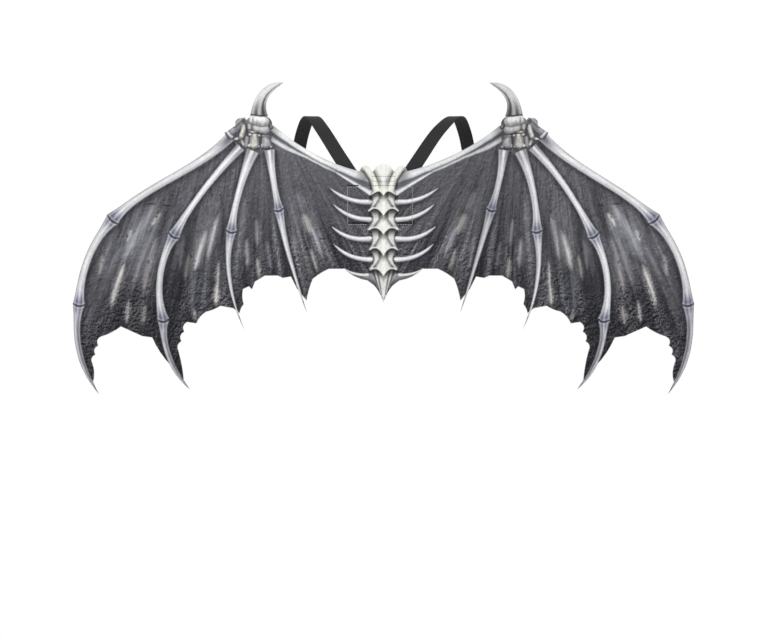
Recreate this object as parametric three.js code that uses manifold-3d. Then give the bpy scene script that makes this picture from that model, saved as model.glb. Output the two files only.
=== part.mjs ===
// Costume wings: one die-cut felt sheet with two bat wings and a spine, a sewn patch and two elastic straps.
// Millimetres, +Z up. The printed face looks along -Y, the wearer stands on the +Y side, and the origin is
// the middle of the wearer's side of the patch. Every table is for the +X side and is mirrored.
import * as THREE from 'three';
import Module from 'manifold-3d';

const wasm = await Module();
wasm.setup();
const { Manifold, Mesh } = wasm;

// Driving sizes.
const FELT_THICKNESS = 2;
const SEAM_GAP = 0.45;
const PATCH_WIDTH = 95;
const PATCH_HEIGHT = 55;
const PATCH_THICKNESS = 1.5;
const PATCH_CORNER = 5;
const PATCH_SHIFT = -5;
const STRAP_WIDTH = 20;
const STRAP_THICKNESS = 1.4;
const CROWN = { top: 60, halfWidth: 17, height: 21 };
const LOBE = { x: 26, z: 46, halfWidth: 9, height: 11.5 };
const KNUCKLE = { x: 186.5, z: 119, halfWidth: 20, height: 14.5 };
const WRIST_BUMP = { x: 211.5, z: 120.5, halfWidth: 9.5, height: 8.5 };

// The worn form: flat on the patch, round the shoulders, then out to the sides, with the claws off the back.
const FLAT_HALF = 72;
const SHOULDER_X = 215;
const SHOULDER_DEPTH = 30;
const OUTER_X = 450;
const OUTER_DEPTH = -4;
const CLAW_TOP = -90;
const CLAW_BOTTOM = -275;
const CLAW_LIFT = 9;
const HUB = { x: 189, z: 118 };
const LEAN = { shift: 4.5, from: 40, full: 170, ease: 215, to: 380, low: -80, high: 60 };
const FOLD_REACH = 260;
const GRID_STEP = 17;

// Soft folds that fan out of the wing's hub: turn from straight down, height at FOLD_REACH and half-width.
const FOLDS = [
  { turn: 46, height: 5, spread: 6 },
  { turn: 36, height: -3.5, spread: 5 },
  { turn: 24, height: 4.5, spread: 6 },
  { turn: 12, height: -3, spread: 5 },
  { turn: -2, height: 4, spread: 6 },
  { turn: -16, height: -3, spread: 5 },
  { turn: -29, height: 3, spread: 6 },
];

// Bones that shape the cut edge: ends, bow away from the spine near the start and near the end, and widths
// at the start, middle and end. The swell at the first and last end fades by a power, 4 where none is given.
const BONES = [
  { name: 'arm', x0: 172, z0: 109, x1: 28, z1: 35, near: 6, far: 6, start: 22, middle: 13.5, end: 26 },
  { name: 'horn', x0: 186, z0: 130, x1: 150, z1: 179, near: -13, far: -13, start: 27, middle: 15, end: 0 },
  { name: 'wrist', x0: 203, z0: 124, x1: 232, z1: 101, near: 0, far: 0, start: 15, middle: 12, end: 15 },
  {
    name: 'finger 1', x0: 228, z0: 101, x1: 392, z1: -20,
    near: -9, far: 9, start: 15, middle: 10, end: 21, last: 13,
  },
  {
    name: 'finger 1 middle', x0: 392, z0: -20, x1: 441, z1: -143,
    near: 12, far: 12, start: 21, middle: 10, end: 18, first: 9, last: 9,
  },
  {
    name: 'finger 1 claw', x0: 441, z0: -143, x1: 411, z1: -273,
    near: 13, far: 13, start: 18, middle: 9, end: 0, first: 9,
  },
  {
    name: 'finger 2 claw', x0: 320.5, z0: -166, x1: 281, z1: -267,
    near: 11, far: 11, start: 17, middle: 8.5, end: 0, first: 9,
  },
  {
    name: 'finger 3 claw', x0: 223, z0: -36, x1: 203, z1: -180,
    near: 11, far: 11, start: 16, middle: 9, end: 0, first: 9, last: 1.4,
  },
  {
    name: 'finger 4 claw', x0: 154.5, z0: -5, x1: 110.5, z1: -157,
    near: 2, far: 2, start: 15, middle: 9.5, end: 0, first: 9, last: 1.5,
  },
];

// The ragged lower edge from the outer claw in to the tail. Each row runs to the next one with a number of
// small bites, cut in by depth; a depth below zero bulges out instead.
const HEM = [
  { x: 419, z: -255, bites: 1, depth: -2 },
  { x: 420, z: -229, bites: 3, depth: 3.5 },
  { x: 408, z: -190, bites: 1, depth: -1.5 },
  { x: 380, z: -175.5, bites: 0, depth: 0 },
  { x: 350, z: -189.5, bites: 0, depth: 0 },
  { x: 336, z: -191.5, bites: 1, depth: -2.5 },
  { x: 308, z: -233, bites: 0, depth: 0 },
  { x: 290, z: -254, bites: 1, depth: -1 },
  { x: 298, z: -211, bites: 3, depth: 3.5 },
  { x: 286, z: -169, bites: 0, depth: 0 },
  { x: 272.5, z: -171, bites: 1, depth: 2 },
  { x: 258, z: -154, bites: 1, depth: -1 },
  { x: 237.5, z: -145.5, bites: 0, depth: 0 },
  { x: 219, z: -149, bites: 0, depth: 0 },
  { x: 210, z: -156, bites: 1, depth: 1 },
  { x: 204, z: -143, bites: 1, depth: 1.5 },
  { x: 205, z: -121, bites: 0, depth: 0 },
  { x: 196.5, z: -117, bites: 0, depth: 0 },
  { x: 192, z: -121.5, bites: 0, depth: 0 },
  { x: 187.5, z: -110, bites: 0, depth: 0 },
  { x: 173, z: -101.5, bites: 0, depth: 0 },
  { x: 154, z: -101.5, bites: 0, depth: 0 },
  { x: 146.5, z: -105, bites: 0, depth: 0 },
  { x: 134.5, z: -103, bites: 0, depth: 0 },
  { x: 125.5, z: -120.5, bites: 0, depth: 0 },
  { x: 111.5, z: -138, bites: 1, depth: 1 },
  { x: 102.5, z: -106.5, bites: 1, depth: 1 },
  { x: 79, z: -92, bites: 0, depth: 0 },
  { x: 57, z: -92, bites: 1, depth: -3 },
  { x: 23, z: -109, bites: 0, depth: 0 },
  { x: 13, z: -116.5, bites: 1, depth: 1.4 },
];
const TAIL_TIP = -141;

// The +X strap from its upper sewn end round to its lower one: its middle, with y from the sewn layer, and
// the way its outer face looks.
const STRAP_ROUTE = [
  { x: 19, y: 0, z: 10, lookY: -1, lookZ: 0 },
  { x: 31, y: 0, z: 28, lookY: -1, lookZ: 0 },
  { x: 38, y: 0.2, z: 39, lookY: -1, lookZ: 0 },
  { x: 57, y: 4.5, z: 68, lookY: -1, lookZ: 0.2 },
  { x: 86, y: 24.5, z: 112, lookY: -0.8, lookZ: 0.7 },
  { x: 107, y: 60, z: 133, lookY: 0, lookZ: 1 },
  { x: 120, y: 98, z: 113, lookY: 0.8, lookZ: 0.7 },
  { x: 131, y: 126, z: 62, lookY: 1, lookZ: 0.2 },
  { x: 141, y: 132, z: 0, lookY: 1, lookZ: -0.1 },
  { x: 150, y: 115, z: -52, lookY: 0.8, lookZ: -0.6 },
  { x: 147, y: 79, z: -77, lookY: 0, lookZ: -1 },
  { x: 121, y: 39, z: -70, lookY: -0.6, lookZ: -0.7 },
  { x: 95, y: 14.5, z: -55, lookY: -0.9, lookZ: -0.3 },
  { x: 73, y: 2.1, z: -42, lookY: -1, lookZ: 0 },
  { x: 58, y: 0.1, z: -33, lookY: -1, lookZ: 0 },
  { x: 44, y: 0, z: -25, lookY: -1, lookZ: 0 },
  { x: 22, y: 0, z: -13, lookY: -1, lookZ: 0 },
];
const STRAP_STEPS = 72;
const STRAP_SETTLE = 60;

const STRAP_LAYER = -(PATCH_THICKNESS + SEAM_GAP + STRAP_THICKNESS / 2);
const PANEL_BACK = -(PATCH_THICKNESS + STRAP_THICKNESS + 2 * SEAM_GAP);
const PRISM_DEPTH = 160;

const smooth = (low, high, value) => THREE.MathUtils.smoothstep(value, low, high);

// How far the sheet lies forward of the flat patch plane at a place on its face.
function drape(x, z) {
  const side = Math.abs(x);
  const shoulder = SHOULDER_DEPTH * smooth(FLAT_HALF, SHOULDER_X, side);
  const outer = (OUTER_DEPTH - SHOULDER_DEPTH) * smooth(SHOULDER_X, OUTER_X, side);
  const claw = -CLAW_LIFT * smooth(-CLAW_TOP, -CLAW_BOTTOM, -z);
  const reach = Math.hypot(side - HUB.x, z - HUB.z) / FOLD_REACH;
  const turn = THREE.MathUtils.radToDeg(Math.atan2(side - HUB.x, HUB.z - z));
  const rise = (fold) => fold.height * Math.exp(-(((turn - fold.turn) / fold.spread) ** 2));
  const wave = FOLDS.reduce((sum, fold) => sum + rise(fold), 0);
  const loose = smooth(FLAT_HALF, FLAT_HALF + 50, side);
  return shoulder + outer + claw + wave * Math.min(reach, 1.2) * loose;
}

// A three.js geometry as a solid, and back.
function toSolid(geometry) {
  const flat = geometry.index ? geometry.toNonIndexed() : geometry;
  const mesh = new Mesh({
    numProp: 3,
    vertProperties: new Float32Array(flat.attributes.position.array),
    triVerts: Uint32Array.from({ length: flat.attributes.position.count }, (_, i) => i),
  });
  mesh.merge();
  return new Manifold(mesh);
}

function toGeometry(solid) {
  const mesh = solid.getMesh();
  const geometry = new THREE.BufferGeometry();
  geometry.setAttribute('position', new THREE.BufferAttribute(Float32Array.from(mesh.vertProperties), 3));
  geometry.setIndex(Array.from(mesh.triVerts));
  geometry.computeVertexNormals();
  return geometry;
}

// The worn sheet is pulled a little to one side: both hubs lean towards +X, and the spine, hem and wing ends don't.
function leaned(point) {
  const side = Math.abs(point.x);
  const share = smooth(LEAN.from, LEAN.full, side) * (1 - smooth(LEAN.ease, LEAN.to, side));
  const shift = LEAN.shift * share * smooth(LEAN.low, LEAN.high, point.y);
  return new THREE.Vector2(point.x + shift, point.y);
}

// A closed outline seen from the front, leaned and carried through the sheet's whole depth.
function prism(points) {
  const shape = new THREE.Shape(points.map(leaned));
  const geometry = new THREE.ExtrudeGeometry(shape, { depth: PRISM_DEPTH, bevelEnabled: false });
  geometry.rotateX(Math.PI / 2);
  geometry.translate(0, PRISM_DEPTH / 2, 0);
  return toSolid(geometry);
}

const mirrored = (points) => points.map((p) => new THREE.Vector2(-p.x, p.y)).reverse();

// The outline of one bone: a bowed centre line with a width that swells at the ends or runs to a point.
function boneOutline(bone) {
  const from = new THREE.Vector2(bone.x0, bone.z0);
  const to = new THREE.Vector2(bone.x1, bone.z1);
  const along = to.clone().sub(from).normalize();
  const out = new THREE.Vector2(-along.y, along.x);
  const first = from.clone().lerp(to, 1 / 3).addScaledVector(out, (4 / 3) * bone.near);
  const second = from.clone().lerp(to, 2 / 3).addScaledVector(out, (4 / 3) * bone.far);
  const line = new THREE.CubicBezierCurve(from, first, second, to);
  const { first: early = 4, last: late = 4 } = bone;
  const steps = 20;
  const left = [];
  const right = [];
  for (let i = 0; i <= steps; i += 1) {
    const t = i / steps;
    const swell = (bone.start - bone.middle) * (1 - t) ** early + (bone.end - bone.middle) * t ** late;
    const width = bone.middle + swell;
    const centre = line.getPoint(t);
    const tangent = line.getTangent(t);
    const normal = new THREE.Vector2(-tangent.y, tangent.x);
    if (width < 0.1) {
      left.push(centre);
    } else {
      left.push(centre.clone().addScaledVector(normal, width / 2));
      right.push(centre.clone().addScaledVector(normal, -width / 2));
    }
  }
  return left.concat(right.reverse());
}

function ellipse(x, z, halfWidth, height) {
  return new THREE.EllipseCurve(x, z, halfWidth, height).getPoints(28).slice(0, -1);
}

// The hem as points: straight runs, or rows of small arcs that bite into the cloth.
function hemPoints() {
  const points = [];
  const rows = HEM.concat([{ x: 0, z: TAIL_TIP }]);
  for (let i = 0; i + 1 < rows.length; i += 1) {
    const from = new THREE.Vector2(rows[i].x, rows[i].z);
    const run = new THREE.Vector2(rows[i + 1].x, rows[i + 1].z).sub(from);
    const inward = new THREE.Vector2(run.y, -run.x).normalize();
    const steps = Math.max(1, rows[i].bites * 4);
    for (let k = 0; k < steps; k += 1) {
      const within = (k % 4) / 4;
      const cut = rows[i].bites ? rows[i].depth * 4 * within * (1 - within) : 0;
      points.push(from.clone().addScaledVector(run, k / steps).addScaledVector(inward, cut));
    }
  }
  return points;
}

// One membrane from wing to wing: up the arm, down the leading finger and back along the hem.
function membraneOutline() {
  const arm = [[0, 52], [24, 48], [61, 47], [113, 69], [172, 108], [189, 118], [210, 119], [229, 101]];
  const lead = [[270, 66], [310, 38], [360, 10], [392, -20], [427, -76], [441, -143], [443, -190], [433, -232]];
  const upper = arm.concat(lead).map(([x, z]) => new THREE.Vector2(x, z));
  const half = upper.concat(hemPoints());
  const axis = [new THREE.Vector2(0, TAIL_TIP)];
  return half.concat(axis, mirrored(half.slice(1)));
}

// The draped slab that the outline is cut from.
function drapedSlab() {
  const halfX = 476;
  const low = -290;
  const high = 195;
  const columns = 2 * Math.round(halfX / GRID_STEP);
  const rows = Math.round((high - low) / GRID_STEP);
  const positions = [];
  const index = [];
  for (const back of [0, 1]) {
    for (let j = 0; j <= rows; j += 1) {
      for (let i = 0; i <= columns; i += 1) {
        const x = -halfX + (2 * halfX * i) / columns;
        const z = low + ((high - low) * j) / rows;
        positions.push(x, PANEL_BACK + drape(x, z) - (back ? 0 : FELT_THICKNESS), z);
      }
    }
  }
  const layer = (columns + 1) * (rows + 1);
  const at = (i, j, back) => back * layer + j * (columns + 1) + i;
  const quad = (a, b, c, d) => index.push(a, b, c, a, c, d);
  for (let j = 0; j < rows; j += 1) {
    for (let i = 0; i < columns; i += 1) {
      quad(at(i, j, 0), at(i + 1, j, 0), at(i + 1, j + 1, 0), at(i, j + 1, 0));
      quad(at(i, j, 1), at(i, j + 1, 1), at(i + 1, j + 1, 1), at(i + 1, j, 1));
    }
  }
  for (let i = 0; i < columns; i += 1) {
    quad(at(i, 0, 0), at(i, 0, 1), at(i + 1, 0, 1), at(i + 1, 0, 0));
    quad(at(i, rows, 0), at(i + 1, rows, 0), at(i + 1, rows, 1), at(i, rows, 1));
  }
  for (let j = 0; j < rows; j += 1) {
    quad(at(0, j, 0), at(0, j + 1, 0), at(0, j + 1, 1), at(0, j, 1));
    quad(at(columns, j, 0), at(columns, j, 1), at(columns, j + 1, 1), at(columns, j + 1, 0));
  }
  const geometry = new THREE.BufferGeometry();
  geometry.setAttribute('position', new THREE.Float32BufferAttribute(positions, 3));
  geometry.setIndex(index);
  return toSolid(geometry);
}

// The printed sheet: the membrane, bones, wrist and crown as one outline, cut from the draped slab.
function wingPanel() {
  const shapes = [membraneOutline(), ellipse(0, CROWN.top - CROWN.height, CROWN.halfWidth, CROWN.height)];
  const halves = BONES.map(boneOutline);
  halves.push(ellipse(KNUCKLE.x, KNUCKLE.z, KNUCKLE.halfWidth, KNUCKLE.height));
  halves.push(ellipse(WRIST_BUMP.x, WRIST_BUMP.z, WRIST_BUMP.halfWidth, WRIST_BUMP.height));
  halves.push(ellipse(LOBE.x, LOBE.z, LOBE.halfWidth, LOBE.height));
  halves.forEach((half) => shapes.push(half, mirrored(half)));
  const outline = Manifold.union(shapes.map(prism));
  return toGeometry(outline.intersect(drapedSlab()));
}

// The sewn rectangle that covers the strap ends, flat on the wearer's side.
function anchorPatch() {
  const x = PATCH_SHIFT - PATCH_WIDTH / 2;
  const z = -PATCH_HEIGHT / 2;
  const r = PATCH_CORNER;
  const shape = new THREE.Shape();
  shape.moveTo(x + r, z);
  shape.lineTo(x + PATCH_WIDTH - r, z);
  shape.absarc(x + PATCH_WIDTH - r, z + r, r, -Math.PI / 2, 0);
  shape.lineTo(x + PATCH_WIDTH, z + PATCH_HEIGHT - r);
  shape.absarc(x + PATCH_WIDTH - r, z + PATCH_HEIGHT - r, r, 0, Math.PI / 2);
  shape.lineTo(x + r, z + PATCH_HEIGHT);
  shape.absarc(x + r, z + PATCH_HEIGHT - r, r, Math.PI / 2, Math.PI);
  shape.lineTo(x, z + r);
  shape.absarc(x + r, z + r, r, Math.PI, 1.5 * Math.PI);
  const geometry = new THREE.ExtrudeGeometry(shape, {
    depth: PATCH_THICKNESS, bevelEnabled: false, curveSegments: 6,
  });
  geometry.rotateX(Math.PI / 2);
  return toGeometry(toSolid(geometry));
}

// One elastic loop: a flat rectangle carried along the route, turned so that its outer face looks outwards.
function strap(side) {
  const stops = STRAP_ROUTE.map((row) => new THREE.Vector3(row.x, STRAP_LAYER + row.y, row.z));
  const route = new THREE.CatmullRomCurve3(stops);
  const looks = new THREE.CatmullRomCurve3(STRAP_ROUTE.map((row) => new THREE.Vector3(0, row.lookY, row.lookZ)));
  const positions = [];
  const index = [];
  for (let i = 0; i <= STRAP_STEPS; i += 1) {
    const t = i / STRAP_STEPS;
    const centre = route.getPoint(t);
    const tangent = route.getTangent(t);
    const look = looks.getPoint(t);
    const across = new THREE.Vector3().crossVectors(tangent, look).normalize();
    const face = new THREE.Vector3().crossVectors(across, tangent).normalize();
    const corners = [[-1, -1], [1, -1], [1, 1], [-1, 1]];
    corners.forEach(([a, f]) => {
      const corner = centre.clone();
      corner.addScaledVector(across, (a * STRAP_WIDTH) / 2);
      corner.addScaledVector(face, (f * STRAP_THICKNESS) / 2);
      const shift = PATCH_SHIFT * (1 - smooth(0, STRAP_SETTLE, corner.y));
      positions.push(side * corner.x + shift, corner.y, corner.z);
    });
  }
  const turn = (a, b, c) => (side > 0 ? index.push(a, b, c) : index.push(a, c, b));
  for (let i = 0; i < STRAP_STEPS; i += 1) {
    for (let k = 0; k < 4; k += 1) {
      const a = 4 * i + k;
      const b = 4 * i + ((k + 1) % 4);
      turn(a, b, b + 4);
      turn(a, b + 4, a + 4);
    }
  }
  const last = 4 * STRAP_STEPS;
  turn(0, 2, 1);
  turn(0, 3, 2);
  turn(last, last + 1, last + 2);
  turn(last, last + 2, last + 3);
  const geometry = new THREE.BufferGeometry();
  geometry.setAttribute('position', new THREE.Float32BufferAttribute(positions, 3));
  geometry.setIndex(index);
  let solid = toSolid(geometry);
  if (solid.volume() < 0) {
    geometry.setIndex(index.reverse());
    solid = toSolid(geometry);
  }
  return toGeometry(solid);
}

function piece(name, geometry, color, roughness) {
  const mesh = new THREE.Mesh(geometry, new THREE.MeshStandardMaterial({ color, roughness, metalness: 0 }));
  mesh.name = name;
  return mesh;
}

const wings = new THREE.Group();
wings.name = 'costume_wings';
wings.add(piece('wing_panel', wingPanel(), 0x5c5c62, 0.9));
wings.add(piece('anchor_patch', anchorPatch(), 0xd9d7d0, 0.95));
wings.add(piece('strap_left', strap(-1), 0x1d1d1f, 0.85));
wings.add(piece('strap_right', strap(1), 0x1d1d1f, 0.85));

export default wings;
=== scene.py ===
"""Looks of the costume wings: one printed felt sheet, a sewn back patch and two elastic straps."""
import logging
import math
from collections.abc import Callable
from dataclasses import dataclass, replace
from enum import Enum

import bpy
import numpy as np
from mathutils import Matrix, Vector
from mathutils.geometry import delaunay_2d_cdt


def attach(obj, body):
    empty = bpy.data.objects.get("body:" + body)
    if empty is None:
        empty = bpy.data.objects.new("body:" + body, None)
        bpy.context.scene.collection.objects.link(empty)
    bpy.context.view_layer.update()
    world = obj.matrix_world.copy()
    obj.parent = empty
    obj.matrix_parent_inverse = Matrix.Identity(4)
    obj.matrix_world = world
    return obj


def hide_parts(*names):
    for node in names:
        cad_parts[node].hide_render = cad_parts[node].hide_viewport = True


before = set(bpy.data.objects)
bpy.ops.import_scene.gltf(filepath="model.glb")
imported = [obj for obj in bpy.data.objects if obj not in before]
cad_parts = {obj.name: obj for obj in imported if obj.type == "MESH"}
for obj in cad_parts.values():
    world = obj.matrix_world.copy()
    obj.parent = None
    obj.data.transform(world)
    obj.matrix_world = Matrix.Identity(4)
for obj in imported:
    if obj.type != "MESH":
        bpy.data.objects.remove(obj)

LOG = logging.getLogger("costume_wings")
MM = 0.001
Array = np.ndarray
Socket = bpy.types.NodeSocket
Material = bpy.types.Material
Piece = bpy.types.Object
Depth = Callable[[Array, Array], Array]
Pair = tuple[float, float]
Runs = tuple[tuple[Pair, Pair], ...]

# The worn form of the sheet, in millimetres, as the solids have it.
PANEL_BACK = -3.8
FELT_THICKNESS = 2.0
HUB_X = 189.0
HUB_Z = 118.0
PATCH_SHIFT = -5.0

# Soft folds that fan out of the hub: degrees from straight down, height in mm, half-width in degrees.
FOLDS = (
    (46, 5, 6),
    (36, -3.5, 5),
    (24, 4.5, 6),
    (12, -3, 5),
    (-2, 4, 6),
    (-16, -3, 5),
    (-29, 3, 6),
)


def to_linear(values: Array) -> Array:
    """Turns sRGB values to linear ones, by the straight foot below 0.04045 and the 2.4 power above it.

    Args:
        values: sRGB values from 0 to 1, in an array of any shape.

    Returns:
        Linear values in the same shape.
    """
    values = np.clip(np.asarray(values, dtype=float), 0.0, 1.0)
    return np.where(values <= 0.04045, values / 12.92, ((values + 0.055) / 1.055) ** 2.4)


def hex_values(code: str) -> Array:
    """Gives the three sRGB values from 0 to 1 of a hex colour such as #a0b1c2."""
    return np.array([int(code[i : i + 2], 16) / 255 for i in (1, 3, 5)])


def linear_colour(code: str) -> tuple[float, float, float, float]:
    """Gives a hex colour as the linear red, green, blue and full alpha that a socket takes."""
    return (*to_linear(hex_values(code)).tolist(), 1.0)


def smooth(low: float, high: float, value: Array) -> Array:
    """Eases from 0 at low to 1 at high, as 3t^2 - 2t^3 of the clipped share t.

    Args:
        low: Where the ease starts.
        high: Where it ends.
        value: Values to ease.

    Returns:
        The eased share of each value.
    """
    share = np.clip((np.asarray(value, dtype=float) - low) / (high - low), 0.0, 1.0)
    return share * share * (3 - 2 * share)


def bell(value: Array, width: float | Array) -> Array:
    """A bell curve about zero: exp(-(value / width)^2)."""
    return np.exp(-((value / width) ** 2))


def tabled(value: Array, table: tuple, column: int = 1) -> Array:
    """Reads a table's column by straight runs between its rows, which its first column places.

    Args:
        value: Places in the first column.
        table: Rows in rising order.
        column: Number of the column.

    Returns:
        The column's value at each place.
    """
    rows = np.array(table, dtype=float)
    return np.interp(value, rows[:, 0], rows[:, column])


def in_box(spots: Array, low: Array, high: Array) -> Array:
    """Says which rows lie between two corners."""
    return ((spots >= low) & (spots <= high)).all(1)


@dataclass(frozen=True)
class Nodes:
    """A node tree that is filled step by step."""

    tree: bpy.types.NodeTree

    def add(self, kind: str, feeds: dict | None = None, **settings) -> bpy.types.Node:
        """Adds one node with its settings, and sets or links its inputs.

        Args:
            kind: Blender's type name of the node, less its first word ShaderNode.
            feeds: Input name or number to a constant, or to the output socket that feeds it.
            **settings: Properties of the node itself.

        Returns:
            The new node.
        """
        node = self.tree.nodes.new(f"ShaderNode{kind}")
        for name, value in settings.items():
            setattr(node, name, value)
        for key, value in (feeds or {}).items():
            if isinstance(value, Socket):
                self.tree.links.new(value, node.inputs[key])
            else:
                node.inputs[key].default_value = value
        return node

    def ranged(self, value: Socket, low: float, high: float, start: float, end: float) -> Socket:
        """Maps a value's range from low and high on to start and end, and holds it there."""
        return self.add("MapRange", {"Value": value, 1: low, 2: high, 3: start, 4: end}).outputs[0]

    def computed(self, operation: str, *values: Socket | float) -> Socket:
        """Works out one maths step from up to three values."""
        return self.add("Math", dict(enumerate(values)), operation=operation).outputs[0]

    def times(self, first: Socket | float, second: Socket) -> Socket:
        """Multiplies two values."""
        return self.computed("MULTIPLY", first, second)

    def clouds(self, spot: Socket, size_mm: float, detail: float, rough: float, bend: float) -> Socket:
        """Gives clouds of a size in mm, with a detail, a roughness and a distortion."""
        feeds = {"Scale": 1000 / size_mm, "Detail": detail, "Roughness": rough, "Distortion": bend}
        return self.add("TexNoise", {"Vector": spot, **feeds}).outputs[0]

    def two_tones(self, value: Socket, low: tuple[float, str], high: tuple[float, str]) -> Socket:
        """Gives a colour by a value, between two stops.

        Args:
            value: The value.
            low: The lower stop's place and hex colour.
            high: The upper stop's.

        Returns:
            The colour.
        """
        ramp = self.add("ValToRGB", {"Fac": value})
        for stop, (place, code) in zip(ramp.color_ramp.elements, (low, high)):
            stop.position = place
            stop.color = linear_colour(code)
        return ramp.outputs[0]

    def surface(self, height: Socket, bump: Pair, looks: dict) -> None:
        """Ends a material with a bumped surface.

        Args:
            height: Heights of the bump.
            bump: Its strength, and its depth in metres.
            looks: Values or sockets by the names of the surface's inputs.
        """
        strength, depth = bump
        bumped = self.add("Bump", {"Strength": strength, "Distance": depth, "Height": height})
        shader = self.add("BsdfPrincipled", {**looks, "Normal": bumped.outputs[0]})
        self.add("OutputMaterial", {"Surface": shader.outputs[0]})


def new_material(name: str) -> tuple[Material, Nodes]:
    """Makes an empty node material.

    Args:
        name: The material's name.

    Returns:
        The material and its empty node tree.
    """
    material = bpy.data.materials.new(name)
    material.use_nodes = True
    material.node_tree.nodes.clear()
    return material, Nodes(material.node_tree)


class Ramp(Enum):
    """Tones across a painted band, from -1 on its right to 1 on its left, looking from start to end."""

    SHAFT = (
        (-1, "#5c5c62"), (-0.9, "#a4a4a9"), (-0.72, "#c4c4c8"), (-0.42, "#c6c6ca"), (-0.14, "#e2e2e4"),
        (0.2, "#eeeeef"), (0.46, "#e0e1e3"), (0.7, "#cecfd2"), (0.88, "#b6b7bb"), (1, "#5c5c62"),
    )
    BASE = (
        (-1, "#38383e"), (-0.88, "#7c7c82"), (-0.66, "#bcbcc0"), (-0.4, "#85858d"), (-0.18, "#b6b6bb"),
        (0.08, "#eeeeee"), (0.3, "#d8d8da"), (0.52, "#84848c"), (0.76, "#9c9ca2"), (1, "#3c3c42"),
    )
    KNUCKLE = (
        (-1, "#55555f"), (-0.9, "#b2b2bc"), (-0.74, "#dcdce3"), (-0.54, "#a6a6b3"), (-0.38, "#80808f"),
        (-0.2, "#c4c4ce"), (0, "#f2f2f4"), (0.16, "#e0e0e6"), (0.34, "#868694"), (0.5, "#9c9caa"),
        (0.72, "#d8d8df"), (0.9, "#b0b0ba"), (1, "#585862"),
    )
    LEAD_BASE = (
        (-1, "#55555c"), (-0.86, "#a2a2a8"), (-0.5, "#75757d"), (-0.1, "#6a6a74"), (0.3, "#84848c"),
        (0.7, "#b4b4b8"), (0.88, "#cfcfd0"), (1, "#77777a"),
    )
    CLAW = (
        (-1, "#3a3a40"), (-0.84, "#77777e"), (-0.6, "#a0a0a6"), (-0.34, "#696972"), (-0.08, "#72727b"),
        (0.2, "#a8a8ad"), (0.5, "#cacace"), (0.74, "#b6b6bb"), (0.9, "#808086"), (1, "#4c4c52"),
    )
    CLAW_PALE = (
        (-1, "#44464c"), (-0.7, "#a2a4a8"), (-0.35, "#bcbec1"), (0.05, "#dadbdc"), (0.4, "#e2e3e2"),
        (0.75, "#aeb0b3"), (1, "#5c5e63"),
    )
    HORN = (
        (-1, "#707074"), (-0.88, "#eaeaea"), (-0.6, "#d4d4d2"), (-0.3, "#e6e6e3"), (0, "#c6c6c4"),
        (0.25, "#d4d4d2"), (0.42, "#7a7a7e"), (0.55, "#56565c"), (0.66, "#9a9a9c"), (0.84, "#e0e0e1"),
        (1, "#6c6c70"),
    )
    HORN_BASE = (
        (-1, "#66666a"), (-0.88, "#b4b4b5"), (-0.65, "#9a9a9b"), (-0.4, "#56565a"), (-0.2, "#5e5e62"),
        (0.05, "#b0b0af"), (0.2, "#a2a2a3"), (0.42, "#46464a"), (0.68, "#3e3e44"), (0.86, "#8e8e90"),
        (1, "#5a5a5e"),
    )
    RIB = (
        (-1, "#55555b"), (-0.7, "#9a9ba2"), (-0.3, "#cacbce"), (0.1, "#ededee"), (0.6, "#f2f2f3"),
        (1, "#9a9a9d"),
    )
    SPINE = ((0, "#d0d0c6"), (0.5, "#b4b4ae"), (0.85, "#b2b2ae"), (1, "#66666a"))
    ARM_UPPER = (
        (0, "#b0b1b3"), (0.14, "#e0e2e3"), (0.45, "#e9eaeb"), (0.75, "#d9dbde"), (0.92, "#c0c2c4"),
        (1, "#9a9ca0"),
    )
    ARM_GROOVE = ((0, "#8a8b90"), (0.3, "#5e5f65"), (0.55, "#4c4d53"), (0.8, "#76777c"), (1, "#a2a3a6"))
    ARM_LOWER = ((0, "#a6a7aa"), (0.3, "#cfd0d2"), (0.65, "#d3d3d4"), (0.88, "#a4a4a8"), (1, "#5a5a5e"))

    def tones(self, places: Array) -> Array:
        """Reads the ramp by straight runs between its stops.

        Args:
            places: Places across the band.

        Returns:
            An sRGB row for each place.
        """
        stops = np.array([stop for stop, _ in self.value])
        colours = np.array([hex_values(code) for _, code in self.value])
        return np.stack([np.interp(places, stops, colours[:, i]) for i in range(3)], axis=-1)


class Plan(Enum):
    """Which ramps a bone takes at its start, middle and end."""

    BONE = (Ramp.KNUCKLE, Ramp.SHAFT, Ramp.KNUCKLE)
    FINGER = (Ramp.BASE, Ramp.SHAFT, Ramp.KNUCKLE)
    LEAD = (Ramp.LEAD_BASE, Ramp.SHAFT, Ramp.KNUCKLE)
    CLAW = (Ramp.KNUCKLE, Ramp.CLAW, Ramp.CLAW)
    CLAW_PALE = (Ramp.KNUCKLE, Ramp.CLAW_PALE, Ramp.CLAW_PALE)
    HORN = (Ramp.HORN_BASE, Ramp.HORN, Ramp.HORN)
    RIB = (Ramp.RIB, Ramp.RIB, Ramp.RIB)


# Thinnest half of a band and how far its end tones fade in, in mm; steps along its outline, each parted
# into finer ones for the slope.
THINNEST = 0.04
END_FADE = 20
OUTLINE_STEPS = 20
FINER = 50


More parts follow.
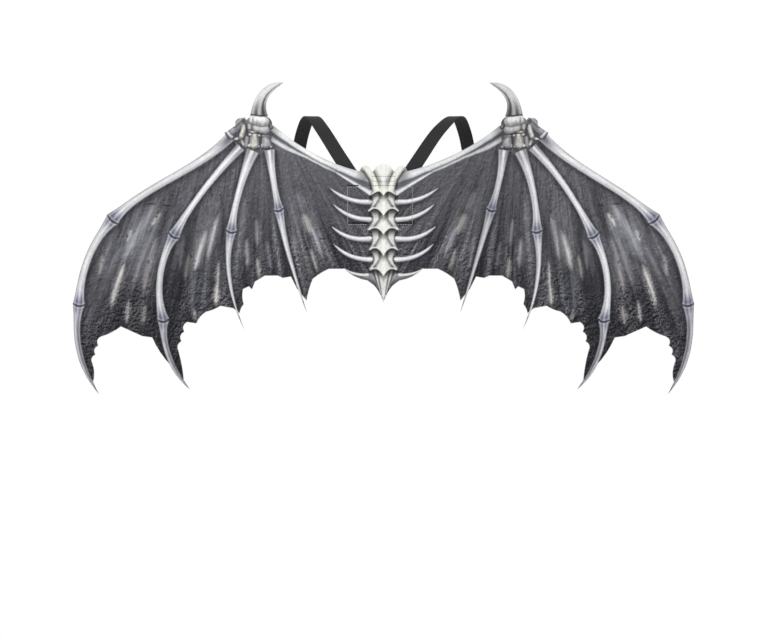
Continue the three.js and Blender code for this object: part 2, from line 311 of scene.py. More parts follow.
@dataclass(frozen=True)
class Mark:
    """One painted band in mm: its ends, its bow to the left near each end, its widths and its ink."""

    x0: float
    z0: float
    x1: float
    z1: float
    near: float
    far: float
    start: float
    middle: float
    end: float
    ink: Plan | str
    cover: float = 1.0
    soft: float = 1.0
    round_ends: bool = False
    powers: Pair = (4, 4)

    def points(self, steps: int) -> Array:
        """Follows the centre line, a cubic curve with handles at 4/3 of each bow from the straight run.

        Args:
            steps: Number of equal steps of the curve's own share.

        Returns:
            A row of x and z for each of steps + 1 places.
        """
        first = np.array([self.x0, self.z0], dtype=float)
        last = np.array([self.x1, self.z1], dtype=float)
        along = (last - first) / np.linalg.norm(last - first)
        left = np.array([-along[1], along[0]])
        handle_a = first + (last - first) / 3 + left * self.near * 4 / 3
        handle_b = first + (last - first) * 2 / 3 + left * self.far * 4 / 3
        t = np.linspace(0, 1, steps + 1)[:, None]
        u = 1 - t
        return u**3 * first + 3 * u * u * t * handle_a + 3 * u * t * t * handle_b + t**3 * last

    def length(self) -> float:
        """Adds up twelve straight steps of the centre line."""
        steps = np.diff(self.points(12), axis=0)
        return float(np.hypot(steps[:, 0], steps[:, 1]).sum())

    def half(self, share: Array) -> Array:
        """Half the width at a share of the length: the middle's plus each end's swell, faded by its power."""
        first, last = self.powers
        swell = (self.start - self.middle) * (1 - share) ** first + (self.end - self.middle) * share**last
        return np.maximum((self.middle + swell) / 2, THINNEST)

    def outline(self) -> Array:
        """Walks round the band: the centre line plus and minus half the width along its normal.

        Returns:
            A closed ring of x and z rows, anticlockwise.
        """
        steps = OUTLINE_STEPS
        line = self.points(steps)
        slope = np.gradient(self.points(steps * FINER), axis=0)[::FINER]
        slope /= np.linalg.norm(slope, axis=1)[:, None]
        normal = np.stack([-slope[:, 1], slope[:, 0]], axis=1)
        reach = self.half(np.linspace(0, 1, steps + 1))[:, None]
        pointed = self.end == 0
        keep = slice(0, steps if pointed else steps + 1)
        right = (line - normal * reach)[keep]
        tip = line[-1:] if pointed else line[:0]
        return np.concatenate([right, tip, (line + normal * reach)[keep][::-1]])

    def measure(self, spots: Array, steps: int = 28) -> tuple[Array, Array, Array]:
        """Finds each spot's nearest place on the centre line, taken as straight steps.

        Args:
            spots: Rows of x and z.
            steps: Number of straight steps.

        Returns:
            The share of the length, the distance to the left of the line, and whether it is past an end.
        """
        line = self.points(steps)
        runs = np.diff(line, axis=0)
        away = spots[:, None, :] - line[None, :-1, :]
        share = np.clip((away * runs).sum(-1) / (runs * runs).sum(-1), 0, 1)
        gap = away - share[..., None] * runs
        reach = np.hypot(gap[..., 0], gap[..., 1])
        best = reach.argmin(1)
        rows = np.arange(len(spots))
        turn = runs[best, 0] * gap[rows, best, 1] - runs[best, 1] * gap[rows, best, 0]
        nearest = share[rows, best]
        past = ((best == 0) & (nearest <= 0)) | ((best == steps - 1) & (nearest >= 1))
        return (best + nearest) / steps, np.copysign(reach[rows, best], turn), past

    def box(self, margin: float) -> tuple[Array, Array]:
        """Gives the lowest and highest corner of the band with a margin round it."""
        line = self.points(12)
        room = max(self.start, self.middle, self.end) / 2 + margin
        return line.min(0) - room, line.max(0) + room

    def tones(self, share: Array, across: Array) -> Array:
        """Mixes the plan's three ramps: the end ramps fade in near the ends by a bell curve.

        Args:
            share: Shares of the length.
            across: Places across, from -1 to 1.

        Returns:
            An sRGB row for each place.
        """
        if isinstance(self.ink, str):
            return np.broadcast_to(hex_values(self.ink), (len(share), 3))
        first, body, last = self.ink.value
        tones = body.tones(across)
        head = bell(share * self.length(), END_FADE)[:, None]
        foot = bell((1 - share) * self.length(), END_FADE)[:, None]
        tones = tones + (first.tones(across) - tones) * head
        return tones + (last.tones(across) - tones) * foot


def strokes(*rows: tuple) -> tuple[Mark, ...]:
    """Makes bands with round ends from rows of their columns."""
    return tuple(Mark(*row, round_ends=True) for row in rows)


@dataclass(frozen=True)
class Form:
    """One painted round form: a run that bows to the left, its end widths, tint, height and roundness."""

    x0: float
    z0: float
    x1: float
    z1: float
    bow: float
    start: float
    end: float
    tint: str
    base: float = 0.0
    rise: float = 0.8
    fall: float = 40.0

    def band(self) -> Mark:
        """Gives the form's run as a band of its greatest width."""
        wide = max(self.start, self.end)
        return Mark(self.x0, self.z0, self.x1, self.z1, self.bow, self.bow, wide, wide, wide, self.tint)

    def height(self, spots: Array) -> tuple[Array, Array]:
        """Gives the form's painted height: its base plus rise times half its width times 1 - across^2.

        Args:
            spots: Rows of x and z.

        Returns:
            The height at each spot, far below zero off the form, and how far inside its outline it lies.
        """
        share, offset, _ = self.band().measure(spots, 12)
        half = (self.start + (self.end - self.start) * share) / 2
        across = np.abs(offset) / half
        fall = self.fall * np.maximum(across - 1, 0)
        return self.base + self.rise * half * (1 - across**2) - fall, half - np.abs(offset)


# Powers by which a joint's swell fades, where it is short and where it is shortest.
LATE = 9
LATEST = 13

# Columns of every Mark and stroke: x0, z0, x1, z1, near bow, far bow, start, middle and end width, ink,
# cover and soft edge. All are for the +X side, and the other side is mirrored.
ARM = Mark(172, 109, 28, 35, 6, 6, 22, 13.5, 26, "#54545a")
HORN = Mark(186, 130, 150, 179, -13, -13, 27, 15, 0, Plan.HORN)
WRIST = Mark(203, 124, 232, 101, 0, 0, 15, 12, 15, "#5c5c64")
FINGER_1 = Mark(228, 101, 392, -20, -9, 9, 15, 10, 21, Plan.LEAD, powers=(4, LATEST))
FINGER_1_MIDDLE = Mark(392, -20, 441, -143, 12, 12, 21, 10, 18, Plan.BONE, powers=(LATE, LATE))
FINGER_1_CLAW = Mark(441, -143, 411, -273, 13, 13, 18, 9, 0, Plan.CLAW, powers=(LATE, 4))
FINGER_2 = Mark(213, 86, 305, -43, 6, 6, 15, 8.5, 18.5, Plan.FINGER, powers=(4, LATE))
FINGER_2_MIDDLE = Mark(305, -43, 320.5, -166, 12, 12, 18.5, 9, 18.5, Plan.BONE, powers=(LATE, LATE))
FINGER_2_CLAW = Mark(320.5, -166, 281, -267, 11, 11, 17, 8.5, 0, Plan.CLAW, powers=(LATE, 4))
FINGER_3 = Mark(195, 80.5, 223, -36, 5, 5, 21, 9, 17.5, Plan.FINGER, powers=(4, LATE))
FINGER_3_CLAW = Mark(223, -36, 203, -180, 11, 11, 16, 9, 0, Plan.CLAW_PALE, powers=(LATE, 1.4))
FINGER_4 = Mark(170.5, 81.6, 154.4, -5, 2, 2, 17.5, 8.5, 16, Plan.FINGER, powers=(4, LATE))
FINGER_4_CLAW = Mark(154.5, -5, 110.5, -157, 2, 2, 15, 9.5, 0, Plan.CLAW_PALE, powers=(LATE, 1.5))

# Bones that shape the cut edge, those with a joint at their start, and those printed as bands.
CUT_BONES = (
    ARM, HORN, WRIST, FINGER_1, FINGER_1_MIDDLE, FINGER_1_CLAW, FINGER_2_CLAW, FINGER_3_CLAW, FINGER_4_CLAW,
)
JOINTED_BONES = (
    FINGER_1_MIDDLE, FINGER_1_CLAW, FINGER_2_MIDDLE, FINGER_2_CLAW, FINGER_3_CLAW, FINGER_4_CLAW,
)
PRINTED_BONES = (
    WRIST, FINGER_4, FINGER_3, FINGER_2, FINGER_1, HORN, FINGER_1_MIDDLE, FINGER_1_CLAW,
    FINGER_2_MIDDLE, FINGER_2_CLAW, FINGER_3_CLAW, FINGER_4_CLAW,
)

# Lines across a joint: distance past it, width, ink, cover.
JOINT_LINES = ((-2.8, 2, "#ececf1", 0.32), (2.8, 2, "#f2f2f5", 0.36), (0, 3.4, "#383846", 0.85))

# Darkness of the bones at a joint, its reach in mm, and its share in red, green and blue.
JOINT_SHADE = (0.4, 11, (1.0, 0.96, 0.85))

# Shadows under the bones and under the ribs: how much wider, how far dropped, in mm, and the cover.
BONE_SHADOW = (8, 1.5, 0.4)
RIB_SHADOW = (5, 2.5, 0.35)

# The arm from its upper edge: share of its length, thickness of the upper bone, groove and lower bone.
ARM_BANDS = (
    (0, 8, 7, 6.5), (0.2, 7, 5, 6), (0.4, 6.6, 1.8, 4), (0.55, 7, 1, 3.4), (0.72, 8, 1.4, 3.4),
    (0.86, 10, 2.6, 3.6), (1, 13.5, 4, 4.5),
)

# Where the arm's two bones part by the spine: the dark gap, then the lower bone.
ARM_SPLIT = strokes(
    (64, 49, 21, 27, 0, 0, 1, 3.4, 8, "#62626b", 0.85, 2),
    (68, 47.4, 19, 18.6, 0, 0, 2.4, 4.8, 8.6, Plan.RIB),
)

# The curved spikes either side of the spine, from the root out to the tip.
RIBS = strokes(
    (20, 4.6, 79, 25.5, -6, -6, 8, 6.2, 0, Plan.RIB),
    (20, -20.8, 74, 2.4, -6, -6, 8, 6.2, 0, Plan.RIB),
    (20, -48.6, 76.4, -29.6, -7, -7, 8.6, 6.6, 0, Plan.RIB),
    (18.5, -78.6, 73, -55.4, -6.6, -6.6, 8, 6.2, 0, Plan.RIB),
)

# Half the spine's width down its length: height, half-width.
SPINE_EDGE = (
    (60.8, 0), (59.5, 8), (56, 12.5), (53, 14.5), (45, 15), (36, 17), (28, 16.4), (20, 17.3), (14.3, 19),
    (12.5, 16.5), (8, 16), (2, 16.5), (-4, 19), (-8, 23), (-9.5, 21), (-12, 17.5), (-16, 15.5), (-19.2, 15.4),
    (-25, 16.5), (-30, 19.5), (-34.6, 23.4), (-36, 21.5), (-39, 17.5), (-43, 16), (-46.4, 15.6), (-52, 15.8),
    (-58, 17.5), (-64.5, 21.6), (-66, 20), (-69, 16.5), (-74, 14), (-79, 13.4), (-84, 15), (-90.8, 20.6),
    (-92, 20), (-95, 18.6), (-103, 15.4), (-115, 10.2), (-125, 6), (-135, 2.4), (-141.6, 0),
)

# The vertebrae, lowest first: height of the top and of the spike's tip.
VERTEBRAE = ((-73.6, -103.5), (-43.1, -73.6), (-16.5, -43.1), (14.3, -16.5))

# Half-width of the tail, of a vertebra and of the crown as painted; the tail's top and the crown's bottom.
TAIL_HALF, VERTEBRA_HALF, CROWN_HALF = 26, 25, 40
TAIL_TOP, CROWN_BOTTOM = -88, 2

# The lower lip of a vertebra: x, and height as a share from its tip to its top. Then the crown's: x, height.
VERTEBRA_LIP = (
    (0, 0), (1.5, 0.11), (3, 0.18), (4.5, 0.243), (6, 0.29), (8, 0.34), (10, 0.37), (14, 0.375), (17, 0.345),
    (20, 0.27), (23, 0.2),
)
CROWN_LIP = ((0, 14.2), (2, 16.5), (4, 19), (6, 20.2), (9, 19.8), (12, 18.4), (15, 16.4), (19, 14))

# The crown: height, half its width with the lobes, and how far out the groove beside each lobe stands.
CROWN_EDGE = (
    (14, 18, 5.5), (18, 15.6, 5.8), (25.7, 16.8, 6.6), (30, 17.6, 7.4), (37, 19.8, 9.3), (46.4, 26, 13.8),
    (52, 30.5, 16.8), (56, 34, 19.4), (62, 36, 21),
)

# The web beside the tail: a grey fold, its shadow and the pale rib along its top.
TAIL_WEB = strokes(
    (50, -97, 14, -107, 0.5, 0.5, 2, 7, 15, "#96969f", 1, 1),
    (48, -99.6, 13, -113, -1, -1, 1.5, 4, 8, "#46464d", 0.8, 6),
    (57.6, -91.4, 17, -99.6, 4.2, 4.2, 0.8, 2.6, 4.4, "#eeeeec", 0.97, 1.2),
)

# Rays of the tail that run to its tip: distance from the axis for each mm above the tip, and the tone.
TAIL_RAYS = (
    (0, 0.84), (0.06, 0.9), (0.12, 0.9), (0.16, 0.58), (0.2, 0.36), (0.26, 0.9), (0.3, 0.46), (0.34, 0.28),
    (0.4, 0.82), (0.45, 0.38), (0.5, 0.5),
)

# The wrist: knuckles, collars and cuffs as round forms, then the dark joints drawn on them.
# Columns of every Form row: x0, z0, x1, z1, bow, start and end width, tint, edge height, roundness.
WRIST_FORMS = (
    Form(207, 125, 228, 105.5, 0, 13.5, 12.5, "#b4b4bb", 0, 0.5),
    Form(211, 126, 219.5, 117, 0, 10, 10, "#c6c6cd", 1.4, 0.3),
    Form(233, 108.4, 226, 100.6, 0, 7, 6.5, "#dedee2", 2.2, 0.9),
    Form(207.4, 120.5, 213, 99, -1, 7.5, 9, "#e6e4e0", 2.5, 0.9),
    Form(213, 99.4, 221, 97.4, 0, 7, 4.5, "#e2e0dd", 2.5, 0.9),
    Form(213, 99.4, 208.8, 89.4, 0, 8, 5, "#e2e0dd", 2.5, 0.9),
    Form(203.5, 99, 205, 88, 0, 8, 8, "#b4b4ba", 1.5, 0.8),
    Form(192.4, 103, 193, 88.4, 0, 13.5, 15.5, "#dedad5", 2.2, 0.7),
    Form(199.6, 104.4, 185.8, 102.8, 0.6, 5.4, 5.4, "#e0ddd9", 2.8, 0.9),
    Form(200.4, 88.2, 195.8, 86.4, 0, 6, 5.4, "#e6e4e0", 2.8, 0.9),
    Form(191.4, 87.4, 186.6, 86.6, 0, 5.6, 5.6, "#d4d0ca", 2.8, 0.9),
    Form(176, 100, 175, 89.4, 0, 12.5, 16, "#b8b8be", 2, 0.6),
    Form(181.6, 88.4, 180.8, 86.2, 0, 5.4, 5, "#dcdce0", 2.6, 0.9),
    Form(176, 86.8, 168, 86, 0, 5.6, 5.6, "#d6d6da", 2.6, 0.9),
    Form(180, 102.4, 172, 100, 0, 5, 5, "#d2d2d5", 2.8, 0.9),
    Form(171.5, 124, 168, 114, 0, 7, 6, "#8c8c94", 1, 0.7),
    Form(197, 114, 181, 112, 0, 15, 15, "#a2a2a6", 2, 0.5),
    Form(200.5, 110.6, 188, 108.6, 2.4, 5, 6, "#d6d6d5", 4.2, 0.8),
    Form(198, 124.4, 179, 122.4, -1.6, 15, 17.5, "#ececec", 4.4, 0.62),
    Form(200.4, 126, 198.8, 114, 0, 9, 8.5, "#e2e1de", 4.8, 0.7),
    Form(197, 116, 177.4, 110.8, 1.6, 9, 15, "#d4d4d6", 4.3, 0.6),
)
WRIST_MARKS = strokes(
    (236, 108.4, 229.7, 98, 0, 0, 1.4, 1.8, 1.4, "#3d3d45", 0.85, 0.9),
    (220.6, 96.4, 210.4, 86.8, 0, 0, 1.4, 2, 1.4, "#303036", 0.9, 0.9),
    (203, 116, 202, 102, 0.8, 0.8, 1.2, 2, 1.2, "#3a3836", 0.75, 1.2),
    (199.7, 83.9, 184.7, 83.4, -0.6, 0.8, 1, 1.4, 1, "#2f2f34", 0.8, 0.9),
    (184, 98, 184, 86, 0, 0, 1.2, 1.6, 1.4, "#38383c", 0.8, 1.2),
    (196.6, 101, 197.6, 91, 0.4, 0.4, 0.8, 2, 0.8, "#6c6864", 0.55, 2),
    (188.8, 101, 188, 91, -0.4, -0.4, 0.8, 2, 0.8, "#6c6864", 0.55, 2),
    (178.6, 98, 178.8, 90, 0, 0, 0.8, 1.6, 0.8, "#66666c", 0.5, 2),
    (183, 83.4, 165.5, 83, 0.8, -0.6, 1, 1.4, 1, "#2f2f34", 0.8, 0.9),
    (200, 106.4, 173.6, 103.2, -1.4, -1.4, 1, 1.8, 1, "#333335", 0.85, 1),
    (194.6, 130.4, 194.4, 118, 0.8, 0.8, 0.8, 2.6, 0.8, "#5c5a58", 0.5, 2.2),
    (209.6, 126.4, 208.4, 120, 0, 0, 2.4, 3.4, 2.4, "#3a3a44", 0.8, 1.6),
    (199.5, 134.2, 173, 131, 1, 1, 1.6, 2.2, 1.6, "#29292d", 0.9, 1.2),
    (206.6, 127, 205.8, 116, 0, 0, 1.2, 1.8, 1.2, "#2f2f36", 0.85, 1),
)
WRIST_BACK = Mark(204, 106, 179, 101, 0, 0, 24, 28, 24, "#4a4a50", 0.85, 4, round_ends=True)

# Pale smears down the membrane, bay by bay from the outer claw to the spine: x0, z0, x1, z1, bow, width,
# ink, cover, soft edge. Each comes to a point at both ends.
STREAK_ROWS = (
    (322, 14, 380, -92, 5, 30, "#b6b8bf", 0.78, 20), (318, 2, 368, -138, 3, 14, "#a6a8af", 0.75, 12),
    (323, -8, 339, -34, 1, 11, "#e2dedd", 1, 10), (365, -32, 373, -56, 0, 10, "#e0e2e6", 0.95, 9),
    (372, -50, 404, -112, 3, 14, "#8f9198", 0.6, 12), (406, -68, 412, -106, 0, 10, "#b6b0af", 0.9, 9),
    (373, -78, 396, -156, 2, 13, "#e4dfdd", 1, 11), (326, -34, 350, -138, 3, 12, "#b4aead", 0.85, 11),
    (345, -140, 351, -176, 0, 11, "#bab4b2", 0.9, 10), (368, -134, 373, -174, 0, 10, "#cacacd", 0.9, 10),
    (240, -6, 257, -84, 2, 11, "#c4c4c9", 0.92, 10), (256, -30, 276, -102, 2, 14, "#e6e4e4", 1, 11),
    (240, -74, 244, -146, 0, 7, "#dcd7d6", 1, 6), (243, -112, 244, -148, 0, 12, "#e4dedd", 1, 9),
    (282, -66, 290, -112, 1, 9, "#aca69f", 0.85, 9), (272, -88, 280, -168, 1, 13, "#858991", 0.6, 11),
    (277, -146, 273, -170, 0, 10, "#aeb0b4", 0.85, 9), (288, -40, 297, -98, 2, 11, "#8c8c95", 0.65, 11),
    (258, -100, 262, -150, 1, 10, "#82868e", 0.55, 10), (187, -14, 184, -64, 0, 11, "#a4a0a5", 0.8, 10),
    (184, -72, 181, -110, 0, 9, "#c8c2c0", 0.95, 8), (201, -42, 197, -96, 0, 12, "#b2b4b8", 0.85, 11),
    (172, -46, 162, -98, 0, 11, "#8e8e95", 0.65, 11), (132, 24, 118, -14, -2, 20, "#93939b", 0.6, 18),
    (120, -8, 104, -46, -1, 19, "#c0bab8", 0.9, 16), (110, -22, 86, -84, -2, 12, "#b4b4bb", 0.9, 11),
    (106, -58, 95, -100, 0, 10, "#bcb6b5", 0.9, 9), (132, -40, 126, -76, 0, 11, "#94949b", 0.65, 11),
)
STREAKS = tuple(
    Mark(x0, z0, x1, z1, bow, bow, 0, wide, 0, ink, cover, soft)
    for x0, z0, x1, z1, bow, wide, ink, cover, soft in STREAK_ROWS
)

# Torn spots at the heads of smears, long creases, and a painted shadow in the seam's pinch under the second
# rib.
TEARS_CREASES_AND_SEAM_SHADOW = strokes(
    (331, -13.6, 327.6, -17.6, 0.8, 0.8, 0.6, 2.6, 0.6, "#1f1d1f", 0.85, 1),
    (372.6, -43, 369.4, -45.6, 0.8, 0.8, 0.6, 2.4, 0.6, "#1f1d1f", 0.85, 1),
    (343, -79, 340.6, -85.4, -0.8, -0.8, 0.6, 2.4, 0.6, "#1f1d1f", 0.8, 1),
    (409, -81, 404.6, -83.6, 0.6, 0.6, 0.6, 2, 0.6, "#1f1d1f", 0.8, 1),
    (356.6, -124, 349.6, -126, 1, 1, 0.8, 3, 0.8, "#1c1a1c", 0.85, 1.2),
    (358.6, 5.2, 304.2, -1, 1, -1, 0.5, 1.2, 0.5, "#18181b", 0.8, 0.8),
    # Painted shadow in the pinch of the seam under the second rib.
    (21, -25.4, 46, -25.4, 0, 0, 2, 2.2, 2, "#101012", 0.9, 1),
    (291, -60, 270, -84, 1, 1, 0.5, 1.2, 0.5, "#18181b", 0.7, 0.8),
    (262, 42, 248, 4, -2, 2, 0.5, 1.1, 0.5, "#18181b", 0.7, 0.8),
    (243, 30, 236, -6, 1, 1, 0.5, 1.1, 0.5, "#18181b", 0.6, 0.8),
)

# The ragged lower edge from the outer claw in to the tail: x, z, bites to the next row and their depth.
HEM = (
    (419, -255, 1, -2), (420, -229, 3, 3.5), (408, -190, 1, -1.5), (380, -175.5, 0, 0), (350, -189.5, 0, 0),
    (336, -191.5, 1, -2.5), (308, -233, 0, 0), (290, -254, 1, -1), (298, -211, 3, 3.5), (286, -169, 0, 0),
    (272.5, -171, 1, 2), (258, -154, 1, -1), (237.5, -145.5, 0, 0), (219, -149, 0, 0), (210, -156, 1, 1),
    (204, -143, 1, 1.5), (205, -121, 0, 0), (196.5, -117, 0, 0), (192, -121.5, 0, 0), (187.5, -110, 0, 0),
    (173, -101.5, 0, 0), (154, -101.5, 0, 0), (146.5, -105, 0, 0), (134.5, -103, 0, 0), (125.5, -120.5, 0, 0),
    (111.5, -138, 1, 1), (102.5, -106.5, 1, 1), (79, -92, 0, 0), (57, -92, 1, -3), (23, -109, 0, 0),
    (13, -116.5, 1, 1.4),
)
TAIL_TIP = -141.0
# About how low the membrane hangs: x, z.
HEM_LEVEL = (
    (40, -95), (110, -112), (160, -102), (215, -140), (290, -190), (325, -200), (380, -182), (420, -235),
)
# The membrane's upper edge, under the arm and the leading finger: x, z.
UPPER_EDGE = (
    (0, 52), (24, 48), (61, 47), (113, 69), (172, 108), (189, 118), (210, 119), (229, 101), (270, 66),
    (310, 38), (360, 10), (392, -20), (427, -76), (441, -143), (443, -190), (433, -232),
)
# Rounded parts of the cut edge: x, z, half-width and half-height. The dome stands on the axis.
DOME = (0, 39, 17, 21)
LOBES = ((186.5, 119, 20, 14.5), (211.5, 120.5, 9.5, 8.5), (26, 46, 9, 11.5))
# Where the print is fine besides its bands: half-width and top of the spine and of the tail, then the
# wrist's x, z and radius.
FINE_COLUMNS = ((30, 64), (62, TAIL_TOP))
FINE_WRIST = (194, 106, 36)
# A box that holds the sheet: its half-width, bottom and top.
SHEET_HALF = 460.0
SHEET_BOTTOM = -280.0
SHEET_TOP = 185.0

# The membrane's wash: its tone at the hub, clouds on it (tone, x, z, half-width, half-height), and its tint.
WASH = 0.375
WASH_CLOUDS = ((0.11, 350, -50, 42, 50), (-0.05, 268, -80, 30, 60), (-0.03, 110, 20, 45, 45))
WASH_TINT = (-0.004, -0.004, 0.019)

# Heights of the focus that the inner and the outer bays fan out of, and where turns are measured, in mm.
INNER_FOCUS = 190.0
OUTER_FOCUS = 427.0
FAN_REACH = 500

# The rectangle of stitching about PATCH_SHIFT, and that of the patch's own stitches inside it.
SEAM_HALF_WIDTH = 46.8
SEAM_HALF_HEIGHT = 26.8
SEAM_LEFT = PATCH_SHIFT - SEAM_HALF_WIDTH
SEAM_RIGHT = PATCH_SHIFT + SEAM_HALF_WIDTH
PATCH_INSET = 3.4
PATCH_LEFT = SEAM_LEFT + PATCH_INSET
PATCH_RIGHT = SEAM_RIGHT - PATCH_INSET

# Runs of stitches: x and z of the start and of the end.
SIDE_RUNS = (
    ((SEAM_LEFT, -SEAM_HALF_HEIGHT), (SEAM_LEFT, SEAM_HALF_HEIGHT)),
    ((SEAM_RIGHT, -SEAM_HALF_HEIGHT), (SEAM_RIGHT, SEAM_HALF_HEIGHT)),
    ((SEAM_LEFT, -27.8), (-24, -27.8)),
    ((20, -27.8), (SEAM_RIGHT, -27.8)),
    ((SEAM_LEFT, 26.4), (-19, 26.4)),
    ((22, 26.4), (SEAM_RIGHT, 26.4)),
)
LEVEL_RUNS = (
    ((SEAM_LEFT, 28.6), (-36, 28.6)),
    ((SEAM_LEFT, -25.4), (-24, -25.4)),
    ((20, -25.4), (SEAM_RIGHT, -25.4)),
)
CROWN_RUNS = (
    ((-18, 42), (18, 42)),
    ((-17, 35), (17, 35)),
    ((-20, 28.6), (22, 28.6)),
)
PATCH_RUNS = (
    ((PATCH_LEFT, -23.5), (PATCH_RIGHT, -23.5)),
    ((PATCH_LEFT, 23.5), (PATCH_RIGHT, 23.5)),
    ((PATCH_LEFT, -23.5), (PATCH_LEFT, 23.5)),
    ((PATCH_RIGHT, -23.5), (PATCH_RIGHT, 23.5)),
)

# The patch from the middle of one face over its rounded edge to the other: inset from the edge, depth.
PATCH_ROWS = (
    (22, 0.0), (16, 0.0), (8, 0.0), (5.2, 0.05), (4, 0.35), (2.8, 0.05), (0.5, 0.0), (0.12, 0.18),
    (0, 0.45), (0, 1.05), (0.12, 1.32), (0.5, 1.5), (8, 1.5), (22, 1.5),
)

# The +X strap from its upper sewn end round to its lower one: x, y from the sewn layer, z, and the y and z
# of the way its outer face looks.
STRAP_ROUTE = (
    (19, 0, 10, -1, 0), (31, 0, 28, -1, 0), (38, 0.2, 39, -1, 0), (57, 4.5, 68, -1, 0.2),
    (86, 24.5, 112, -0.8, 0.7), (107, 60, 133, 0, 1), (120, 98, 113, 0.8, 0.7), (131, 126, 62, 1, 0.2),
    (141, 132, 0, 1, -0.1), (150, 115, -52, 0.8, -0.6), (147, 79, -77, 0, -1), (121, 39, -70, -0.6, -0.7),
    (95, 14.5, -55, -0.9, -0.3), (73, 2.1, -42, -1, 0), (58, 0.1, -33, -1, 0), (44, 0, -25, -1, 0),
    (22, 0, -13, -1, 0),
)


@dataclass(frozen=True)
class PrintedFelt:
    """Needle-punched polyester felt with an ink print: dull, fibrous, mottled, streaked and cracked."""

    mottle_mm: float = 5.0
    relief_mm: float = 10.0
    relief_shift: tuple[float, float, float] = (-0.001, 0.0, 0.0018)
    band_mm: Pair = (4.5, 80.0)
    stroke_mm: Pair = (3.4, 15.0)
    fold_mm: Pair = (24.0, 300.0)
    fold_line: float = 0.035
    smear_mm: Pair = (5.0, 55.0)
    wrinkle_mm: float = 10.0
    wrinkle_bend: tuple[float, float, float] = (0.011, 0.011, 0.011)
    wrinkle_line: float = 0.12
    crack_depth: float = -1.6
    scratch_mm: float = 7.0
    grain_mm: float = 2.4
    fibre_mm: float = 1.6
    ink_rough: float = 0.62
    roughness: float = 0.88

    def noise(self, nodes: Nodes, spot: Socket, size_mm: float, detail: float, bend: float) -> Socket:
        """Gives the ink's clouds of a size in mm, with a detail and a distortion."""
        return nodes.clouds(spot, size_mm, detail, self.ink_rough, bend)

    def fanned(self, nodes: Nodes, fan: Socket, size_mm: Pair) -> Socket:
        """Gives clouds drawn out along the membrane's fan to a width and a length in mm."""
        scale = (1 / size_mm[0], 1 / size_mm[1], 0)
        placed = nodes.add("Mapping", {"Vector": fan, "Scale": scale}).outputs[0]
        feeds = {"Vector": placed, "Scale": 1.0, "Detail": 3.0}
        return nodes.add("TexNoise", feeds).outputs[0]

    def relief(self, nodes: Nodes, spot: Socket) -> Socket:
        """Gives lumps lit from above: clouds less the same clouds a little further towards the light."""
        feeds = {0: spot, 1: self.relief_shift}
        moved = nodes.add("VectorMath", feeds, operation="ADD").outputs[0]
        both = [self.noise(nodes, place, self.relief_mm, 3.0, 2.0) for place in (spot, moved)]
        return nodes.computed("SUBTRACT", *both)

    def folds(self, nodes: Nodes, fan: Socket) -> Socket:
        """Gives the share of thin dark folds along the fan, where drawn-out clouds cross their middle."""
        offset = nodes.computed("SUBTRACT", self.fanned(nodes, fan, self.fold_mm), 0.5)
        return nodes.ranged(nodes.computed("ABSOLUTE", offset), 0.0, self.fold_line, 1.0, 0.0)

    def wrinkles(self, nodes: Nodes, spot: Socket, wear: Socket) -> Socket:
        """Gives the share of dark cracks: lines between bent cells, as strong as the wear.

        Args:
            nodes: The material's nodes.
            spot: Places in metres.
            wear: How worn the membrane is, from 0 to 1.

        Returns:
            The share of each crack.
        """
        scale = 1000 / self.wrinkle_mm
        warp = nodes.add("TexNoise", {"Vector": spot, "Scale": scale, "Detail": 2.0})
        feeds = {0: warp.outputs["Color"], 1: self.wrinkle_bend, 2: spot}
        bent = nodes.add("VectorMath", feeds, operation="MULTIPLY_ADD").outputs[0]
        feeds = {"Vector": bent, "Scale": scale}
        cells = nodes.add("TexVoronoi", feeds, feature="DISTANCE_TO_EDGE")
        return nodes.times(nodes.ranged(cells.outputs["Distance"], 0.0, self.wrinkle_line, 1.0, 0.0), wear)

    def scratches(self, nodes: Nodes, spot: Socket) -> Socket:
        """Gives the share of pale scratches, the crests of ridged clouds."""
        feeds = {"Vector": spot, "Scale": 1000 / self.scratch_mm, "Detail": 3.0, "Distortion": 1.2}
        crest = nodes.add("TexNoise", feeds, noise_type="RIDGED_MULTIFRACTAL")
        return nodes.ranged(crest.outputs[0], 0.6, 1.15, 0.0, 1.0)

    def worn(
        self, nodes: Nodes, spot: Socket, fan: Socket, wear: Socket, mottle: Socket, crack: Socket
    ) -> Socket:
        """Multiplies the membrane's uneven tones, each a value's range mapped on to a range of factors.

        Args:
            nodes: The material's nodes.
            spot: Places in metres.
            fan: Places on the membrane's fan.
            wear: How worn the membrane is, from 0 to 1.
            mottle: Clouds of the ink.
            crack: The share of each crack.

        Returns:
            A factor about 1.
        """
        lumps = nodes.times(self.relief(nodes, spot), nodes.ranged(wear, 0.15, 1.0, 0.2, 1.35))
        bands = self.fanned(nodes, fan, self.band_mm)
        strokes = self.fanned(nodes, fan, self.stroke_mm)
        tone = 1.0
        for value, low, high, start, end in (
            (mottle, 0.3, 0.7, 0.8, 1.2),
            (bands, 0.3, 0.7, 0.84, 1.18),
            (strokes, 0.32, 0.68, 0.76, 1.24),
            (self.folds(nodes, fan), 0.0, 1.0, 1.0, 0.66),
            (lumps, -0.13, 0.13, 0.05, 1.95),
            (crack, 0.0, 1.0, 1.0, 0.55),
            (self.scratches(nodes, spot), 0.0, 1.0, 1.0, 1.4),
        ):
            tone = nodes.times(tone, nodes.ranged(value, low, high, start, end))
        return tone

